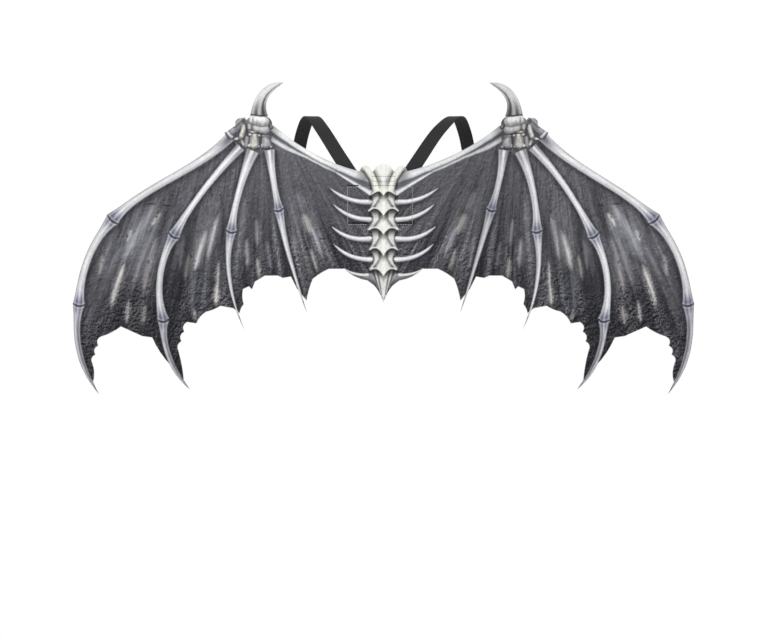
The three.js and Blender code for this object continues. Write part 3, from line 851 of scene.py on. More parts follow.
    def make(self) -> Material:
        """Builds the material: painted tones, and on the membrane broken smears and uneven, cracked ink.

        Returns:
            The material.
        """
        material, nodes = new_material("printed_polyester_felt")
        ink = nodes.add("Attribute", attribute_name="print")
        smear = nodes.add("Attribute", attribute_name="smear")
        fan = nodes.add("Attribute", attribute_name="fan").outputs["Vector"]
        wear = nodes.add("SeparateXYZ", {0: fan}).outputs[2]
        spot = nodes.add("TexCoord").outputs["Object"]
        mottle = self.noise(nodes, spot, self.mottle_mm, 5.0, 0.5)
        crack = self.wrinkles(nodes, spot, wear)
        change = nodes.computed("SUBTRACT", self.worn(nodes, spot, fan, wear, mottle, crack), 1.0)
        bare = nodes.times(ink.outputs["Alpha"], nodes.ranged(smear.outputs["Alpha"], 0.0, 0.8, 1.0, 0.25))
        cloth_tone = nodes.computed("MULTIPLY_ADD", change, bare, 1.0)
        drawn = self.fanned(nodes, fan, self.smear_mm)
        broken = nodes.times(smear.outputs["Alpha"], nodes.ranged(drawn, 0.3, 0.62, 0.35, 1.0))
        feeds = {0: broken, 6: ink.outputs["Color"], 7: smear.outputs["Color"]}
        streaked = nodes.add("Mix", feeds, data_type="RGBA").outputs[2]
        grain = nodes.ranged(self.noise(nodes, spot, self.grain_mm, 3.0, 0.3), 0.3, 0.7, 0.88, 1.1)
        feeds = {0: streaked, "Scale": nodes.times(cloth_tone, grain)}
        colour = nodes.add("VectorMath", feeds, operation="SCALE").outputs[0]
        fibre = self.noise(nodes, spot, self.fibre_mm, 2.0, 0.0)
        height = nodes.computed("ADD", nodes.computed("MULTIPLY_ADD", crack, self.crack_depth, fibre), mottle)
        looks = {
            "Base Color": colour,
            "Roughness": self.roughness,
            "Specular IOR Level": 0.25,
            "Sheen Weight": 0.05,
            "Sheen Roughness": 0.6,
        }
        nodes.surface(height, (0.5, 0.0006), looks)
        return material


@dataclass(frozen=True)
class BareFelt:
    """Undyed polyester felt on the back, the cut edge and the patch: off-white fibres in faint clouds."""

    pale: str = "#dcdad3"
    dark: str = "#c6c3ba"
    clump_mm: float = 6.0
    fibre_mm: float = 1.4

    def make(self) -> Material:
        """Builds the material: two off-whites by clumps of fibre, with a fine matted bump.

        Returns:
            The material.
        """
        material, nodes = new_material("bare_polyester_felt")
        spot = nodes.add("TexCoord").outputs["Object"]
        clump = nodes.clouds(spot, self.clump_mm, 6.0, 0.65, 0.8)
        fibre = nodes.clouds(spot, self.fibre_mm, 3.0, 0.5, 1.5)
        looks = {
            "Base Color": nodes.two_tones(clump, (0.3, self.dark), (0.7, self.pale)),
            "Roughness": 0.95,
            "Specular IOR Level": 0.2,
            "Sheen Weight": 0.15,
            "Sheen Roughness": 0.6,
        }
        nodes.surface(nodes.computed("ADD", clump, fibre), (0.6, 0.0005), looks)
        return material


@dataclass(frozen=True)
class WovenElastic:
    """Braided polyester elastic, dyed black: lengthwise ribs crossed by fine picks, with a weak sheen."""

    colour: str = "#262626"
    # Painted shade: the groove colour fills the hollows between the ribs and between the picks.
    groove: str = "#121212"
    rib_mm: float = 1.7
    pick_mm: float = 2.2
    pick_share: float = 0.45

    def make(self) -> Material:
        """Builds the material on the strap's own map, in millimetres across and along.

        Ribs and picks are drawn a little coarser than real ones so that they show.

        Returns:
            The material.
        """
        material, nodes = new_material("black_woven_elastic")
        cloth = nodes.add("UVMap", uv_map="strap_mm").outputs[0]
        scale = (1 / self.rib_mm, 1 / self.pick_mm, 1)
        scaled = nodes.add("Mapping", {"Vector": cloth, "Scale": scale}).outputs[0]
        parts = nodes.add("SeparateXYZ", {0: scaled})
        rib = nodes.computed("PINGPONG", parts.outputs[0], 1.0)
        pick = nodes.computed("PINGPONG", parts.outputs[1], 1.0)
        weave = nodes.computed("MULTIPLY_ADD", pick, self.pick_share, rib)
        looks = {
            # Painted shade in the weave's hollows, which take the groove colour; the crests keep the plain
            # black.
            "Base Color": nodes.two_tones(weave, (0.15, self.groove), (0.9, self.colour)),
            "Roughness": 0.72,
            "Specular IOR Level": 0.35,
            "Sheen Weight": 0.1,
        }
        nodes.surface(weave, (0.7, 0.0005), looks)
        return material


@dataclass(frozen=True)
class SewingThread:
    """Spun polyester thread: a dull twist of two plies, lighter on the ply tops."""

    name: str
    colour: str
    shade: str
    ply_mm: float = 0.9

    def make(self) -> Material:
        """Builds the material: bands of the thread's twist by a slanting wave.

        Returns:
            The material.
        """
        material, nodes = new_material(self.name)
        spot = nodes.add("TexCoord").outputs["Object"]
        feeds = {"Vector": spot, "Scale": 1000 / self.ply_mm / 6, "Distortion": 1.0}
        twist = nodes.add("TexWave", feeds, bands_direction="DIAGONAL").outputs["Fac"]
        looks = {
            "Base Color": nodes.two_tones(twist, (0.0, self.shade), (1.0, self.colour)),
            "Roughness": 0.7,
        }
        nodes.surface(twist, (0.4, 0.0001), looks)
        return material


def new_piece(name: str, places: Array, faces: list, materials: list[Material]) -> Piece:
    """Makes a smooth object at the origin from whole arrays.

    Args:
        name: The piece's name.
        places: Rows of x, y and z in millimetres.
        faces: Corner numbers of each face.
        materials: The piece's materials.

    Returns:
        The new object, linked to the scene.
    """
    mesh = bpy.data.meshes.new(name)
    mesh.from_pydata((np.asarray(places) * MM).tolist(), [], faces)
    mesh.shade_smooth()
    for material in materials:
        mesh.materials.append(material)
    piece = bpy.data.objects.new(name, mesh)
    bpy.context.scene.collection.objects.link(piece)
    return piece


def turn_outward(piece: Piece) -> None:
    """Turns a closed mesh's faces outward when its volume, a sum of corner products, is below zero.

    Args:
        piece: The object whose mesh is turned.
    """
    mesh = piece.data
    mesh.calc_loop_triangles()
    corners = np.zeros(len(mesh.loop_triangles) * 3, dtype=np.int32)
    mesh.loop_triangles.foreach_get("vertices", corners)
    places = np.zeros(len(mesh.vertices) * 3)
    mesh.vertices.foreach_get("co", places)
    a, b, c = places.reshape(-1, 3)[corners.reshape(-1, 3)].transpose(1, 0, 2)
    if np.einsum("ij,ij->i", a, np.cross(b, c)).sum() < 0:
        mesh.flip_normals()


def tube_walls(rings: int, around: int) -> Array:
    """Joins rings of corners, one after the other, with faces of four corners.

    Args:
        rings: Number of rings.
        around: Number of corners in each.

    Returns:
        Rows of four corner numbers.
    """
    here = np.arange(around)
    after = (here + 1) % around
    start = (np.arange(rings - 1) * around)[:, None]
    corners = [start + here, start + after, start + around + after, start + around + here]
    return np.stack(corners, axis=-1).reshape(-1, 4)


def drape(x: Array, z: Array) -> Array:
    """How far the sheet lies towards the wearer of its flat middle, in mm, as the solids have it.

    It eases 30 mm back round the shoulder and 34 mm forward again to the wing's end, stands 9 mm off at the
    claws, and adds the folds: bells of the turn about the hub, which grow with the distance from it.

    Args:
        x: Places across.
        z: Heights.

    Returns:
        The depth at each place.
    """
    side = np.abs(x)
    depth = 30 * smooth(72, 215, side) - 34 * smooth(215, 450, side) - 9 * smooth(90, 275, -z)
    reach = np.minimum(np.hypot(side - HUB_X, z - HUB_Z) / 260, 1.2)
    turn = np.degrees(np.arctan2(side - HUB_X, HUB_Z - z))
    table = np.array(FOLDS, dtype=float)
    wave = (table[:, 1] * bell(turn[..., None] - table[:, 0], table[:, 2])).sum(-1)
    return depth + wave * reach * smooth(72, 122, side)


def crumple(x: Array, z: Array) -> Array:
    """Small creases of worn felt, in mm: bent sine waves, stronger towards the claws and none at the patch.

    Args:
        x: Places across.
        z: Heights.

    Returns:
        The height of the crease at each place.
    """
    side = np.abs(x)
    waves = np.sin(x / 6.3 + 2.1 * np.sin(z / 17)) * np.sin(z / 7.7 + 1.7 * np.sin(x / 13))
    waves = waves + 0.8 * np.sin((x + z) / 5.1 + 1.3 * np.sin(z / 9.1)) * np.sin((x - 1.6 * z) / 11.3)
    loose = smooth(95, 150, side) * (0.25 + 0.55 * smooth(60, 230, -z))
    return waves * loose


def lean(x: Array, z: Array) -> Array:
    """How far the worn sheet leans to +X about the hubs, as the solids have it: up to 4.5 mm, eased off.

    Args:
        x: Places across on the flat pattern.
        z: Heights.

    Returns:
        The shift of each place.
    """
    side = np.abs(x)
    return 4.5 * smooth(40, 170, side) * (1 - smooth(215, 380, side)) * smooth(-80, 60, z)


def cloud(u: Array, v: Array, seed: float) -> Array:
    """Soft random clouds from -1 to 1: hashed values at whole steps of u and v, eased between, in two sizes.

    Args:
        u: Places along one way, one cloud to each step.
        v: Places along the other way.
        seed: Number that picks the pattern.

    Returns:
        The cloud at each place.
    """
    total = np.zeros(np.broadcast(u, v).shape)
    for size, weight in ((1.0, 0.62), (2.3, 0.38)):
        left, low = np.floor(u * size), np.floor(v * size)
        s, t = smooth(0, 1, u * size - left), smooth(0, 1, v * size - low)
        corners = ((0, 0, (1 - s) * (1 - t)), (1, 0, s * (1 - t)), (0, 1, (1 - s) * t), (1, 1, s * t))
        for i, j, share in corners:
            mix = np.sin((left + i) * 127.1 + (low + j) * 311.7 + (seed + size) * 74.7) * 43758.5453
            total = total + weight * share * (2 * (mix - np.floor(mix)) - 1)
    return total


def fan_out(side: Array, height: Array) -> tuple[Array, Array]:
    """Gives the membrane's fan: how far round from straight below the hub, and how far out.

    Args:
        side: Distances from the spine.
        height: Heights.

    Returns:
        The turn, in mm at the fan's reach, and the distance from its focus.
    """
    focus = np.where(side > HUB_X, OUTER_FOCUS, INNER_FOCUS)
    return (side - HUB_X) / (focus - height) * FAN_REACH, np.hypot(side - HUB_X, focus - height)


class Print:
    """The printed picture, laid mark by mark over the spots of the sheet in sRGB, as a painter would."""

    light = np.array([0.17, 0.45, 0.877])
    slope_step = 0.35
    blend = 0.85
    dim = 0.42
    bone_white = np.array([0.994, 1.0, 0.972])
    crown_white = np.array([0.994, 1.0, 0.966])
    tail_white = np.array([0.994, 1, 0.98])

    def __init__(self, spots: Array) -> None:
        """Starts with the membrane's wash.

        Args:
            spots: Rows of x and z in mm; the far side is folded over to +X.
        """
        self.spots = np.stack([np.abs(spots[:, 0]), spots[:, 1]], axis=1)
        self.cloth = np.ones(len(spots))
        side, height = self.spots.T
        reach = np.hypot(side - HUB_X, height - HUB_Z)
        tone = WASH - 0.05 * smooth(120, 260, reach) - 0.10 * smooth(250, 360, reach)
        for change, x, z, wide, high in WASH_CLOUDS:
            tone = tone + change * bell(side - x, wide) * bell(height - z, high)
        tone = tone - 0.06 * smooth(-70, -130, height) * smooth(345, 300, side)
        turn, run = fan_out(side, height)
        pleat = cloud(turn / 13, run / 140, 11) + 0.5 * cloud(turn / 6, run / 90, 12)
        strength = (0.2 + 0.8 * smooth(40, -60, height)) * (1 - 0.5 * smooth(-150, -200, height))
        tone = tone * (1 + 0.55 * pleat * strength)
        self.rgb = tone[:, None] + np.array(WASH_TINT)
        self.smear_rgb = self.rgb.copy()
        self.smear = np.zeros(len(spots))

    def near(self, mark: Mark, margin: float) -> Array:
        """Gives the numbers of the spots inside a mark's box with a margin."""
        return np.nonzero(in_box(self.spots, *mark.box(margin)))[0]

    def cover(self, which: Array, tones: Array, fade: Array, bone: bool = True) -> None:
        """Lays tones over the picture.

        Args:
            which: Numbers of the spots.
            tones: An sRGB row for each spot.
            fade: How much each spot is covered.
            bone: Whether the cover hides the membrane's mottle as well.
        """
        self.rgb[which] += (tones - self.rgb[which]) * fade[:, None]
        if bone:
            self.cloth[which] *= 1 - fade

    def fade(self, mark: Mark, share: Array, offset: Array, past: Array) -> Array:
        """Gives a mark's cover: full inside, eased off over its soft edge and none past a square end.

        Args:
            mark: The mark.
            share: Shares of its length.
            offset: Distances to the left of its centre line.
            past: Whether each spot is past an end.

        Returns:
            The cover of each spot.
        """
        fade = smooth(-0.5, 0.5, (mark.half(share) - np.abs(offset)) / mark.soft) * mark.cover
        return fade if mark.round_ends else np.where(past, 0.0, fade)

    def grain(self, which: Array, along: Array, across: Array, seed: float) -> Array:
        """Gives the bone's uneven ink: streaks along it and fine blots, as factors about 1.

        Args:
            which: Numbers of the spots.
            along: Distances along the bone in mm.
            across: Distances across it in mm.
            seed: Number that picks the pattern.

        Returns:
            A factor for each spot.
        """
        side, height = self.spots[which].T
        return 1 + 0.08 * cloud(across / 1.7, along / 24, seed) + 0.04 * cloud(side / 2.6, height / 2.6, seed)

    def lay(self, mark: Mark, bone: bool = True) -> None:
        """Paints one mark: its tones by its ink, with bent and streaked bands on a bone.

        Args:
            mark: The mark.
            bone: Whether it hides the membrane's mottle as well.
        """
        which = self.near(mark, mark.soft)
        share, offset, past = mark.measure(self.spots[which])
        across = offset / mark.half(share)
        if isinstance(mark.ink, str):
            tones = mark.tones(share, across)
        else:
            along = share * mark.length()
            bent = across + 0.11 * cloud(along / 15, across * 1.4, mark.x0) * (1 - across**2)
            tones = mark.tones(share, np.clip(bent, -1, 1))
            tones = tones * self.grain(which, along, offset, mark.x0)[:, None]
        self.cover(which, tones, self.fade(mark, share, offset, past), bone)

    def streak(self, mark: Mark) -> None:
        """Notes one smear's tint and strength: a wide faint halo about a narrow core.

        Args:
            mark: The smear.
        """
        which = self.near(mark, mark.soft)
        share, offset, _ = mark.measure(self.spots[which])
        reach = np.abs(offset) / np.maximum(mark.half(share), 0.5)
        strength = mark.cover * smooth(0, 0.25, share) * smooth(1, 0.7, share)
        strength = strength * (0.42 * bell(reach, 0.95) + 0.58 * bell(reach, 0.38))
        weight = strength / (strength + self.smear[which] + 1e-6)
        self.smear_rgb[which] += (hex_values(mark.ink) - self.smear_rgb[which]) * weight[:, None]
        self.smear[which] = np.maximum(self.smear[which], strength)

    def darken_mark(self, mark: Mark) -> None:
        """Darkens a torn spot, a crease or the painted shadow in the seam's pinch, through any smear.

        Args:
            mark: The spot, crease or painted shadow.
        """
        which = self.near(mark, mark.soft)
        share, offset, past = mark.measure(self.spots[which])
        fade = self.fade(mark, share, offset, past)
        self.cover(which, mark.tones(share, offset), fade, False)
        self.smear[which] *= 1 - fade

    def shade(self, mark: Mark, grow: float, drop: float, cover: float) -> None:
        """Darkens the membrane round a bone: a wide soft band of near-black under it, dropped a little.

        Args:
            mark: The bone.
            grow: How much wider the band is, in mm.
            drop: How far it is dropped, in mm.
            cover: Its strength in the middle.
        """
        wide = replace(
            mark, z0=mark.z0 - drop, z1=mark.z1 - drop, start=mark.start + grow, middle=mark.middle + grow,
            end=mark.end + grow, ink="#17171b", cover=cover, soft=grow,
        )
        self.lay(wide, False)

    def sculpt(self, forms: tuple[Form, ...]) -> None:
        """Paints round forms as if lit from above: their heights flow together, and slopes give the tone.

        The height is log(sum of exp(blend * height)) / blend. The tone is 0.29 + 0.68 of the cosine between
        the slope's normal and the light, with a small gloss, dimmed at the outline, in low places and in the
        creases where no one form has most of the sum.

        Args:
            forms: The forms.
        """
        which = np.unique(np.concatenate([self.near(form.band(), 1.0) for form in forms]))
        spots = self.spots[which]
        step = self.slope_step
        places = np.concatenate([spots, spots + np.array([step, 0]), spots + np.array([0, step])])
        surfaces = [form.height(places) for form in forms]
        heights = np.stack([height for height, _ in surfaces]).reshape(len(forms), 3, -1)
        room = np.stack([gap[: len(which)] for _, gap in surfaces]).max(0)
        top = heights.max(0)
        flow = np.exp(self.blend * (heights - top))
        here, right, above = top + np.log(flow.sum(0)) / self.blend
        normal = np.stack([(here - right) / step, (here - above) / step, np.ones(len(which))], axis=1)
        lit = np.maximum(normal @ self.light / np.linalg.norm(normal, axis=1), 0)
        tone = 0.29 + 0.68 * lit + 0.07 * lit**8
        tone = tone * (1 - self.dim * smooth(2.0, -0.3, room)) * (1 - 0.55 * self.dim * smooth(5, 0.5, here))
        tone = tone * (1 + 0.16 * cloud(spots[:, 0] / 2.2, spots[:, 1] / 5, len(forms)))
        share = flow[:, 0] / flow[:, 0].sum(0)
        tone = tone * (1 - 0.4 * smooth(0.85, 0.5, share.max(0)))
        tints = share.T @ np.array([hex_values(form.tint) for form in forms])
        self.cover(which, np.clip(tints * tone[:, None], 0, 0.95), smooth(-0.5, 0.5, room))

    def arm(self) -> None:
        """Paints the arm down from its cut upper edge: an upper bone, a dark groove and a lower bone."""
        which = self.near(ARM, 1.0)
        share, offset, _ = ARM.measure(self.spots[which])
        upper, groove, lower = (tabled(share, ARM_BANDS, column) for column in (1, 2, 3))
        along = share * ARM.length()
        depth = ARM.half(share) + offset + 0.7 * cloud(along / 18, offset / 5, 5)
        tones = Ramp.ARM_UPPER.tones(depth / upper)
        crease = Ramp.ARM_GROOVE.tones((depth - upper) / groove)
        under = Ramp.ARM_LOWER.tones((depth - upper - groove) / lower)
        under = under * (1 - 0.2 * smooth(0.4, 0.9, share))[:, None]
        tones = np.where((depth > upper)[:, None], crease, tones)
        tones = np.where((depth > upper + groove)[:, None], under, tones)
        # Darker towards both ends: towards the wrist, and as painted shade where the arm runs under the
        # crown's lobes.
        worn = 0.3 * smooth(0.14, 0, share) + 0.35 * smooth(0.88, 1, share)
        tones = tones * (self.grain(which, along, offset, 7) - worn)[:, None]
        self.cover(which, tones, smooth(0.8, -0.8, depth - upper - groove - lower))

    def joint(self, bone: Mark) -> None:
        """Paints the joint at a bone's start: a dark curved gap, as wide as the bone, between two pale rims.

        The bones darken towards the gap by exp(-(distance / reach)^2), least in blue.

        Args:
            bone: The bone past the joint.
        """
        line = bone.points(40)
        dark, reach, shares = JOINT_SHADE
        near = np.exp(-((self.spots - line[0]) ** 2).sum(1) / reach**2) * (1 - self.cloth)
        self.rgb *= 1 - dark * near[:, None] * np.array(shares)
        along = (line[1] - line[0]) / np.linalg.norm(line[1] - line[0])
        across = np.array([-along[1], along[0]]) * bone.start * 0.46
        for shift, wide, ink, cover in JOINT_LINES:
            place = line[0] + along * shift
            ends = (*(place - across), *(place + across))
            self.lay(Mark(*ends, -3, -3, 1.2, wide, 1.2, ink, cover, round_ends=True))

    def lip(self, edge: Array, which: Array) -> Array:
        """Shades a lip's hollow: the picture below the edge darkens over 12 mm, most in a line along it.

        Args:
            edge: The lip's height at each spot.
            which: Numbers of the spots.

        Returns:
            How far above the edge each spot lies.
        """
        above = self.spots[which, 1] - edge
        side = self.spots[which, 0]
        near = smooth(23, 19, side) * (0.45 + 0.55 * smooth(0, 4, side))
        dark = 0.62 * smooth(-12, -2, above) + 0.26 * bell(above + 0.8, 0.8)
        dark = dark * smooth(0.6, -0.6, above) * near
        self.rgb[which] *= 1 - dark[:, None]
        return above

    def plate(self, above: Array, which: Array, share: Array, cover: Array) -> None:
        """Paints one plate of the spine: a bright ridge, grooves that spread from it, and a bright lip.

        Each is a bell about its place: 2.6 mm wide at the ridge, 3.6 mm at the groove on the ridge's side
        and 1.1 mm on the other, and 0.9 mm at the lip.

        Args:
            above: How far above the lip each spot lies.
            which: Numbers of the spots.
            share: Shares of the plate's height, from 0 at its tip.
            cover: How much each spot is covered.
        """
        side, height = self.spots[which].T
        spread = 5.6 + 19 * np.clip(0.86 - share, 0, 0.42)
        tone = 0.9 + 0.06 * bell(side, 2.6)
        inner = spread + 0.6 - side
        tone = tone - 0.4 * bell(inner, np.where(inner > 0, 3.6, 1.1)) * smooth(-2, 3, above)
        tone = tone - 0.16 * bell(above - 4, 2.2) * smooth(9, 13, side) * smooth(21, 17, side)
        tone = tone - 0.1 * smooth(0.86, 1, share) * smooth(3, 6, side)
        tone = tone + (0.96 - tone) * 0.9 * bell(above - 1.2, 0.9)
        tone = tone + 0.06 * cloud(side / 2.4, height / 5, 21)
        tone = tone * (0.62 + 0.38 * smooth(-0.4, 0.9, above))
        tint = self.bone_white + np.array([-0.006, -0.004, 0.02]) * smooth(4, 12, side)[:, None]
        self.cover(which, np.clip(tone[:, None] * tint, 0, 0.96), cover * smooth(-0.5, 0.5, above))

    def spine(self) -> None:
        """Paints the spine: its column, the tail's rays, each vertebra from below, and the crown."""
        for mark in TAIL_WEB:
            self.lay(mark)
        side, height = self.spots.T
        half = np.maximum(tabled(height, SPINE_EDGE[::-1]), 0.01)
        body = smooth(-0.5, 0.5, half - side) * (half > 0.1)
        tones = Ramp.SPINE.tones(np.clip(side / half, 0, 1))
        self.cover(np.arange(len(side)), tones, body)
        which = np.nonzero((height < TAIL_TOP) & (side < TAIL_HALF))[0]
        turn = side[which] / np.maximum(height[which] - TAIL_TIP + 0.6, 0.6)
        tone = tabled(turn, TAIL_RAYS) + 0.06 * cloud(side[which] / 2, height[which] / 8, 31)
        self.cover(which, tone[:, None] * self.tail_white, body[which])
        rim = 1 - 0.3 * smooth(2.2, 0, half - side) * body
        for top, tip in VERTEBRAE:
            which = np.nonzero((side < VERTEBRA_HALF) & (height > tip - 10) & (height < top + 6))[0]
            share = np.clip((height[which] - tip) / (top - tip), 0, 1)
            edge = tip + (top - tip) * tabled(side[which], VERTEBRA_LIP)
            above = self.lip(edge, which)
            self.plate(above, which, share, body[which])
            self.rgb[which] *= np.where(above > 0, rim[which], 1)[:, None]
        self.crown()

    def crown(self) -> None:
        """Paints the crown: a dome and two lobes that flow into one neck, with a groove by each lobe.

        The groove is a bell, 5 mm wide towards the dome and 0.9 mm towards the lobe, and fades below.
        """
        which = np.nonzero((self.spots[:, 0] < CROWN_HALF) & (self.spots[:, 1] > CROWN_BOTTOM))[0]
        side, height = self.spots[which].T
        above = self.lip(tabled(side, CROWN_LIP), which)
        half = tabled(height, CROWN_EDGE)
        inner = tabled(height, CROWN_EDGE, 2) - side
        beside = bell(side - half - 0.8, 1.8) * smooth(20, 26, height) * smooth(54, 48, height)
        self.rgb[which] *= 1 - 0.6 * beside[:, None]
        tone = 0.93 - 0.34 * smooth(4.5, 0, half - side) + 0.04 * bell(side, 3)
        groove = bell(inner, np.where(inner > 0, 5, 0.9)) * smooth(19, 36, height)
        tone = tone - 0.46 * groove * (1 - 0.5 * smooth(46, 56, height))
        tone = tone + 0.07 * cloud(side / 1.7, height / 9, 23)
        tone = tone + (0.95 - tone) * 0.9 * bell(above - 1.2, 0.9)
        tone = tone * (0.62 + 0.38 * smooth(-0.4, 0.9, above))
        cover = smooth(-0.5, 0.5, half - side) * smooth(-0.5, 0.5, above)
        self.cover(which, np.clip(tone[:, None] * self.crown_white, 0, 0.96), cover)

    def paint(self) -> None:
        """Lays the whole picture: smears, shadows, bones, joints, wrist, ribs and spine, in that order."""
        for mark in STREAKS:
            self.streak(mark)
        for mark in TEARS_CREASES_AND_SEAM_SHADOW:
            self.darken_mark(mark)
        for mark in PRINTED_BONES:
            self.shade(mark, *BONE_SHADOW)
        for mark in RIBS:
            self.shade(mark, *RIB_SHADOW)
        for mark in PRINTED_BONES:
            self.lay(mark)
        self.arm()
        for mark in ARM_SPLIT:
            self.lay(mark)
        for mark in JOINTED_BONES:
            self.joint(mark)
        self.lay(WRIST_BACK)
        self.sculpt(WRIST_FORMS)
        for mark in (*WRIST_MARKS, *RIBS):
            self.lay(mark)
        self.spine()
        self.smear *= self.cloth


def ellipse_ring(x: float, z: float, half_width: float, half_height: float) -> Array:
    """Gives a closed ring of x and z rows on an ellipse, anticlockwise."""
    turn = np.linspace(0, 2 * np.pi, 28, endpoint=False)
    return np.stack([x + half_width * np.cos(turn), z + half_height * np.sin(turn)], axis=1)


def mirrored(ring: Array) -> Array:
    """Gives a ring on the other side of the spine, still anticlockwise."""
    return (ring * np.array([-1, 1]))[::-1]


def divided(ring: Array, step: float) -> Array:
    """Cuts a ring's straight sides into equal parts no longer than a step.

    Args:
        ring: Closed ring of x and z rows.
        step: Longest part.

    Returns:
        The same ring with more rows.
    """
    run = np.roll(ring, -1, axis=0) - ring
    parts = np.maximum(np.ceil(np.hypot(run[:, 0], run[:, 1]) / step).astype(int), 1)
    side = np.repeat(np.arange(len(ring)), parts)
    within = np.arange(len(side)) - np.repeat(np.cumsum(parts) - parts, parts)
    return ring[side] + run[side] * (within / parts[side])[:, None]


def inside(ring: Array, spots: Array) -> Array:
    """Says which spots lie in a ring: those whose level line to the right crosses it an odd number of times.

    Args:
        ring: Closed ring of x and z rows.
        spots: Rows of x and z.

    Returns:
        True for each spot inside.
    """
    ends = np.roll(ring, -1, axis=0)
    x, z = spots[:, :1], spots[:, 1:]
    spans = (ring[:, 1] > z) != (ends[:, 1] > z)
    rise = np.where(ends[:, 1] == ring[:, 1], 1.0, ends[:, 1] - ring[:, 1])
    cross = ring[:, 0] + (z - ring[:, 1]) * (ends[:, 0] - ring[:, 0]) / rise
    return ((spans & (x < cross)).sum(1) % 2).astype(bool)


def covered(rings: list[Array], spots: Array) -> Array:
    """Says which spots lie in any of several rings, each tried only on the spots in its box.

    Args:
        rings: Closed rings of x and z rows.
        spots: Rows of x and z.

    Returns:
        True for each spot in a ring.
    """
    held = np.zeros(len(spots), dtype=bool)
    for ring in rings:
        which = np.nonzero(in_box(spots, ring.min(0), ring.max(0)) & ~held)[0]
        for part in np.array_split(which, len(which) // 10000 + 1):
            held[part] = inside(ring, spots[part])
    return held


def gaps(spots: Array, rim: Array) -> Array:
    """Gives each spot's distance to the nearest of the rim's rows, worked out in parts to save room."""
    parts = np.array_split(spots, len(spots) // 4000 + 1)
    squares = [((part**2).sum(1)[:, None] + (rim**2).sum(1) - 2 * part @ rim.T).min(1) for part in parts]
    return np.sqrt(np.maximum(np.concatenate(squares), 0))


def net(places: Array, edges: list, rings: list[Array]) -> tuple[Array, Array]:
    """Joins spots with triangles that keep every ring's sides, and drops those whose middle is in no ring.

    Args:
        places: Rows of x and z; the rings' own rows come first, unless edges are given.
        edges: Pairs of row numbers to keep as sides, or none where the rings' sides are kept.
        rings: Closed rings of x and z rows that the sheet is cut to.

    Returns:
        Rows of x and z, and triangles as anticlockwise row numbers.
    """
    starts = np.cumsum([0] + [len(ring) for ring in rings])
    faces = [] if edges else [list(range(a, b)) for a, b in zip(starts[:-1], starts[1:])]
    made = delaunay_2d_cdt([Vector(p) for p in places.tolist()], edges, faces, 0, 1e-4)
    triangles = np.array(made[2])
    spots = np.array([tuple(p) for p in made[0]])
    if edges:
        triangles = np.array([ids[0] for ids in made[3]])[triangles]
        spots = places
    return spots, triangles[covered(rings, spots[triangles].mean(1))]


def border(triangles: Array) -> Array:
    """Gives the sides that only one triangle has, as pairs of row numbers with the sheet on their left."""
    sides = np.concatenate([triangles[:, [0, 1]], triangles[:, [1, 2]], triangles[:, [2, 0]]])
    _, first, count = np.unique(np.sort(sides, axis=1), axis=0, return_index=True, return_counts=True)
    return sides[first[count == 1]]


def lattice(step: float, low: Pair, high: Pair) -> Array:
    """Spreads spots in a triangular net, each row set over by half a step.

    Args:
        step: Distance between neighbours.
        low: Lowest x and z.
        high: Highest x and z.

    Returns:
        Rows of x and z.
    """
    rows = np.arange(low[1], high[1], step * math.sqrt(3) / 2)
    columns = np.arange(low[0] + step / 4, high[0], step)
    x = columns[None, :] + (np.arange(len(rows)) % 2)[:, None] * step / 2
    z = np.broadcast_to(rows[:, None], x.shape)
    return np.stack([x.ravel(), z.ravel()], axis=1)


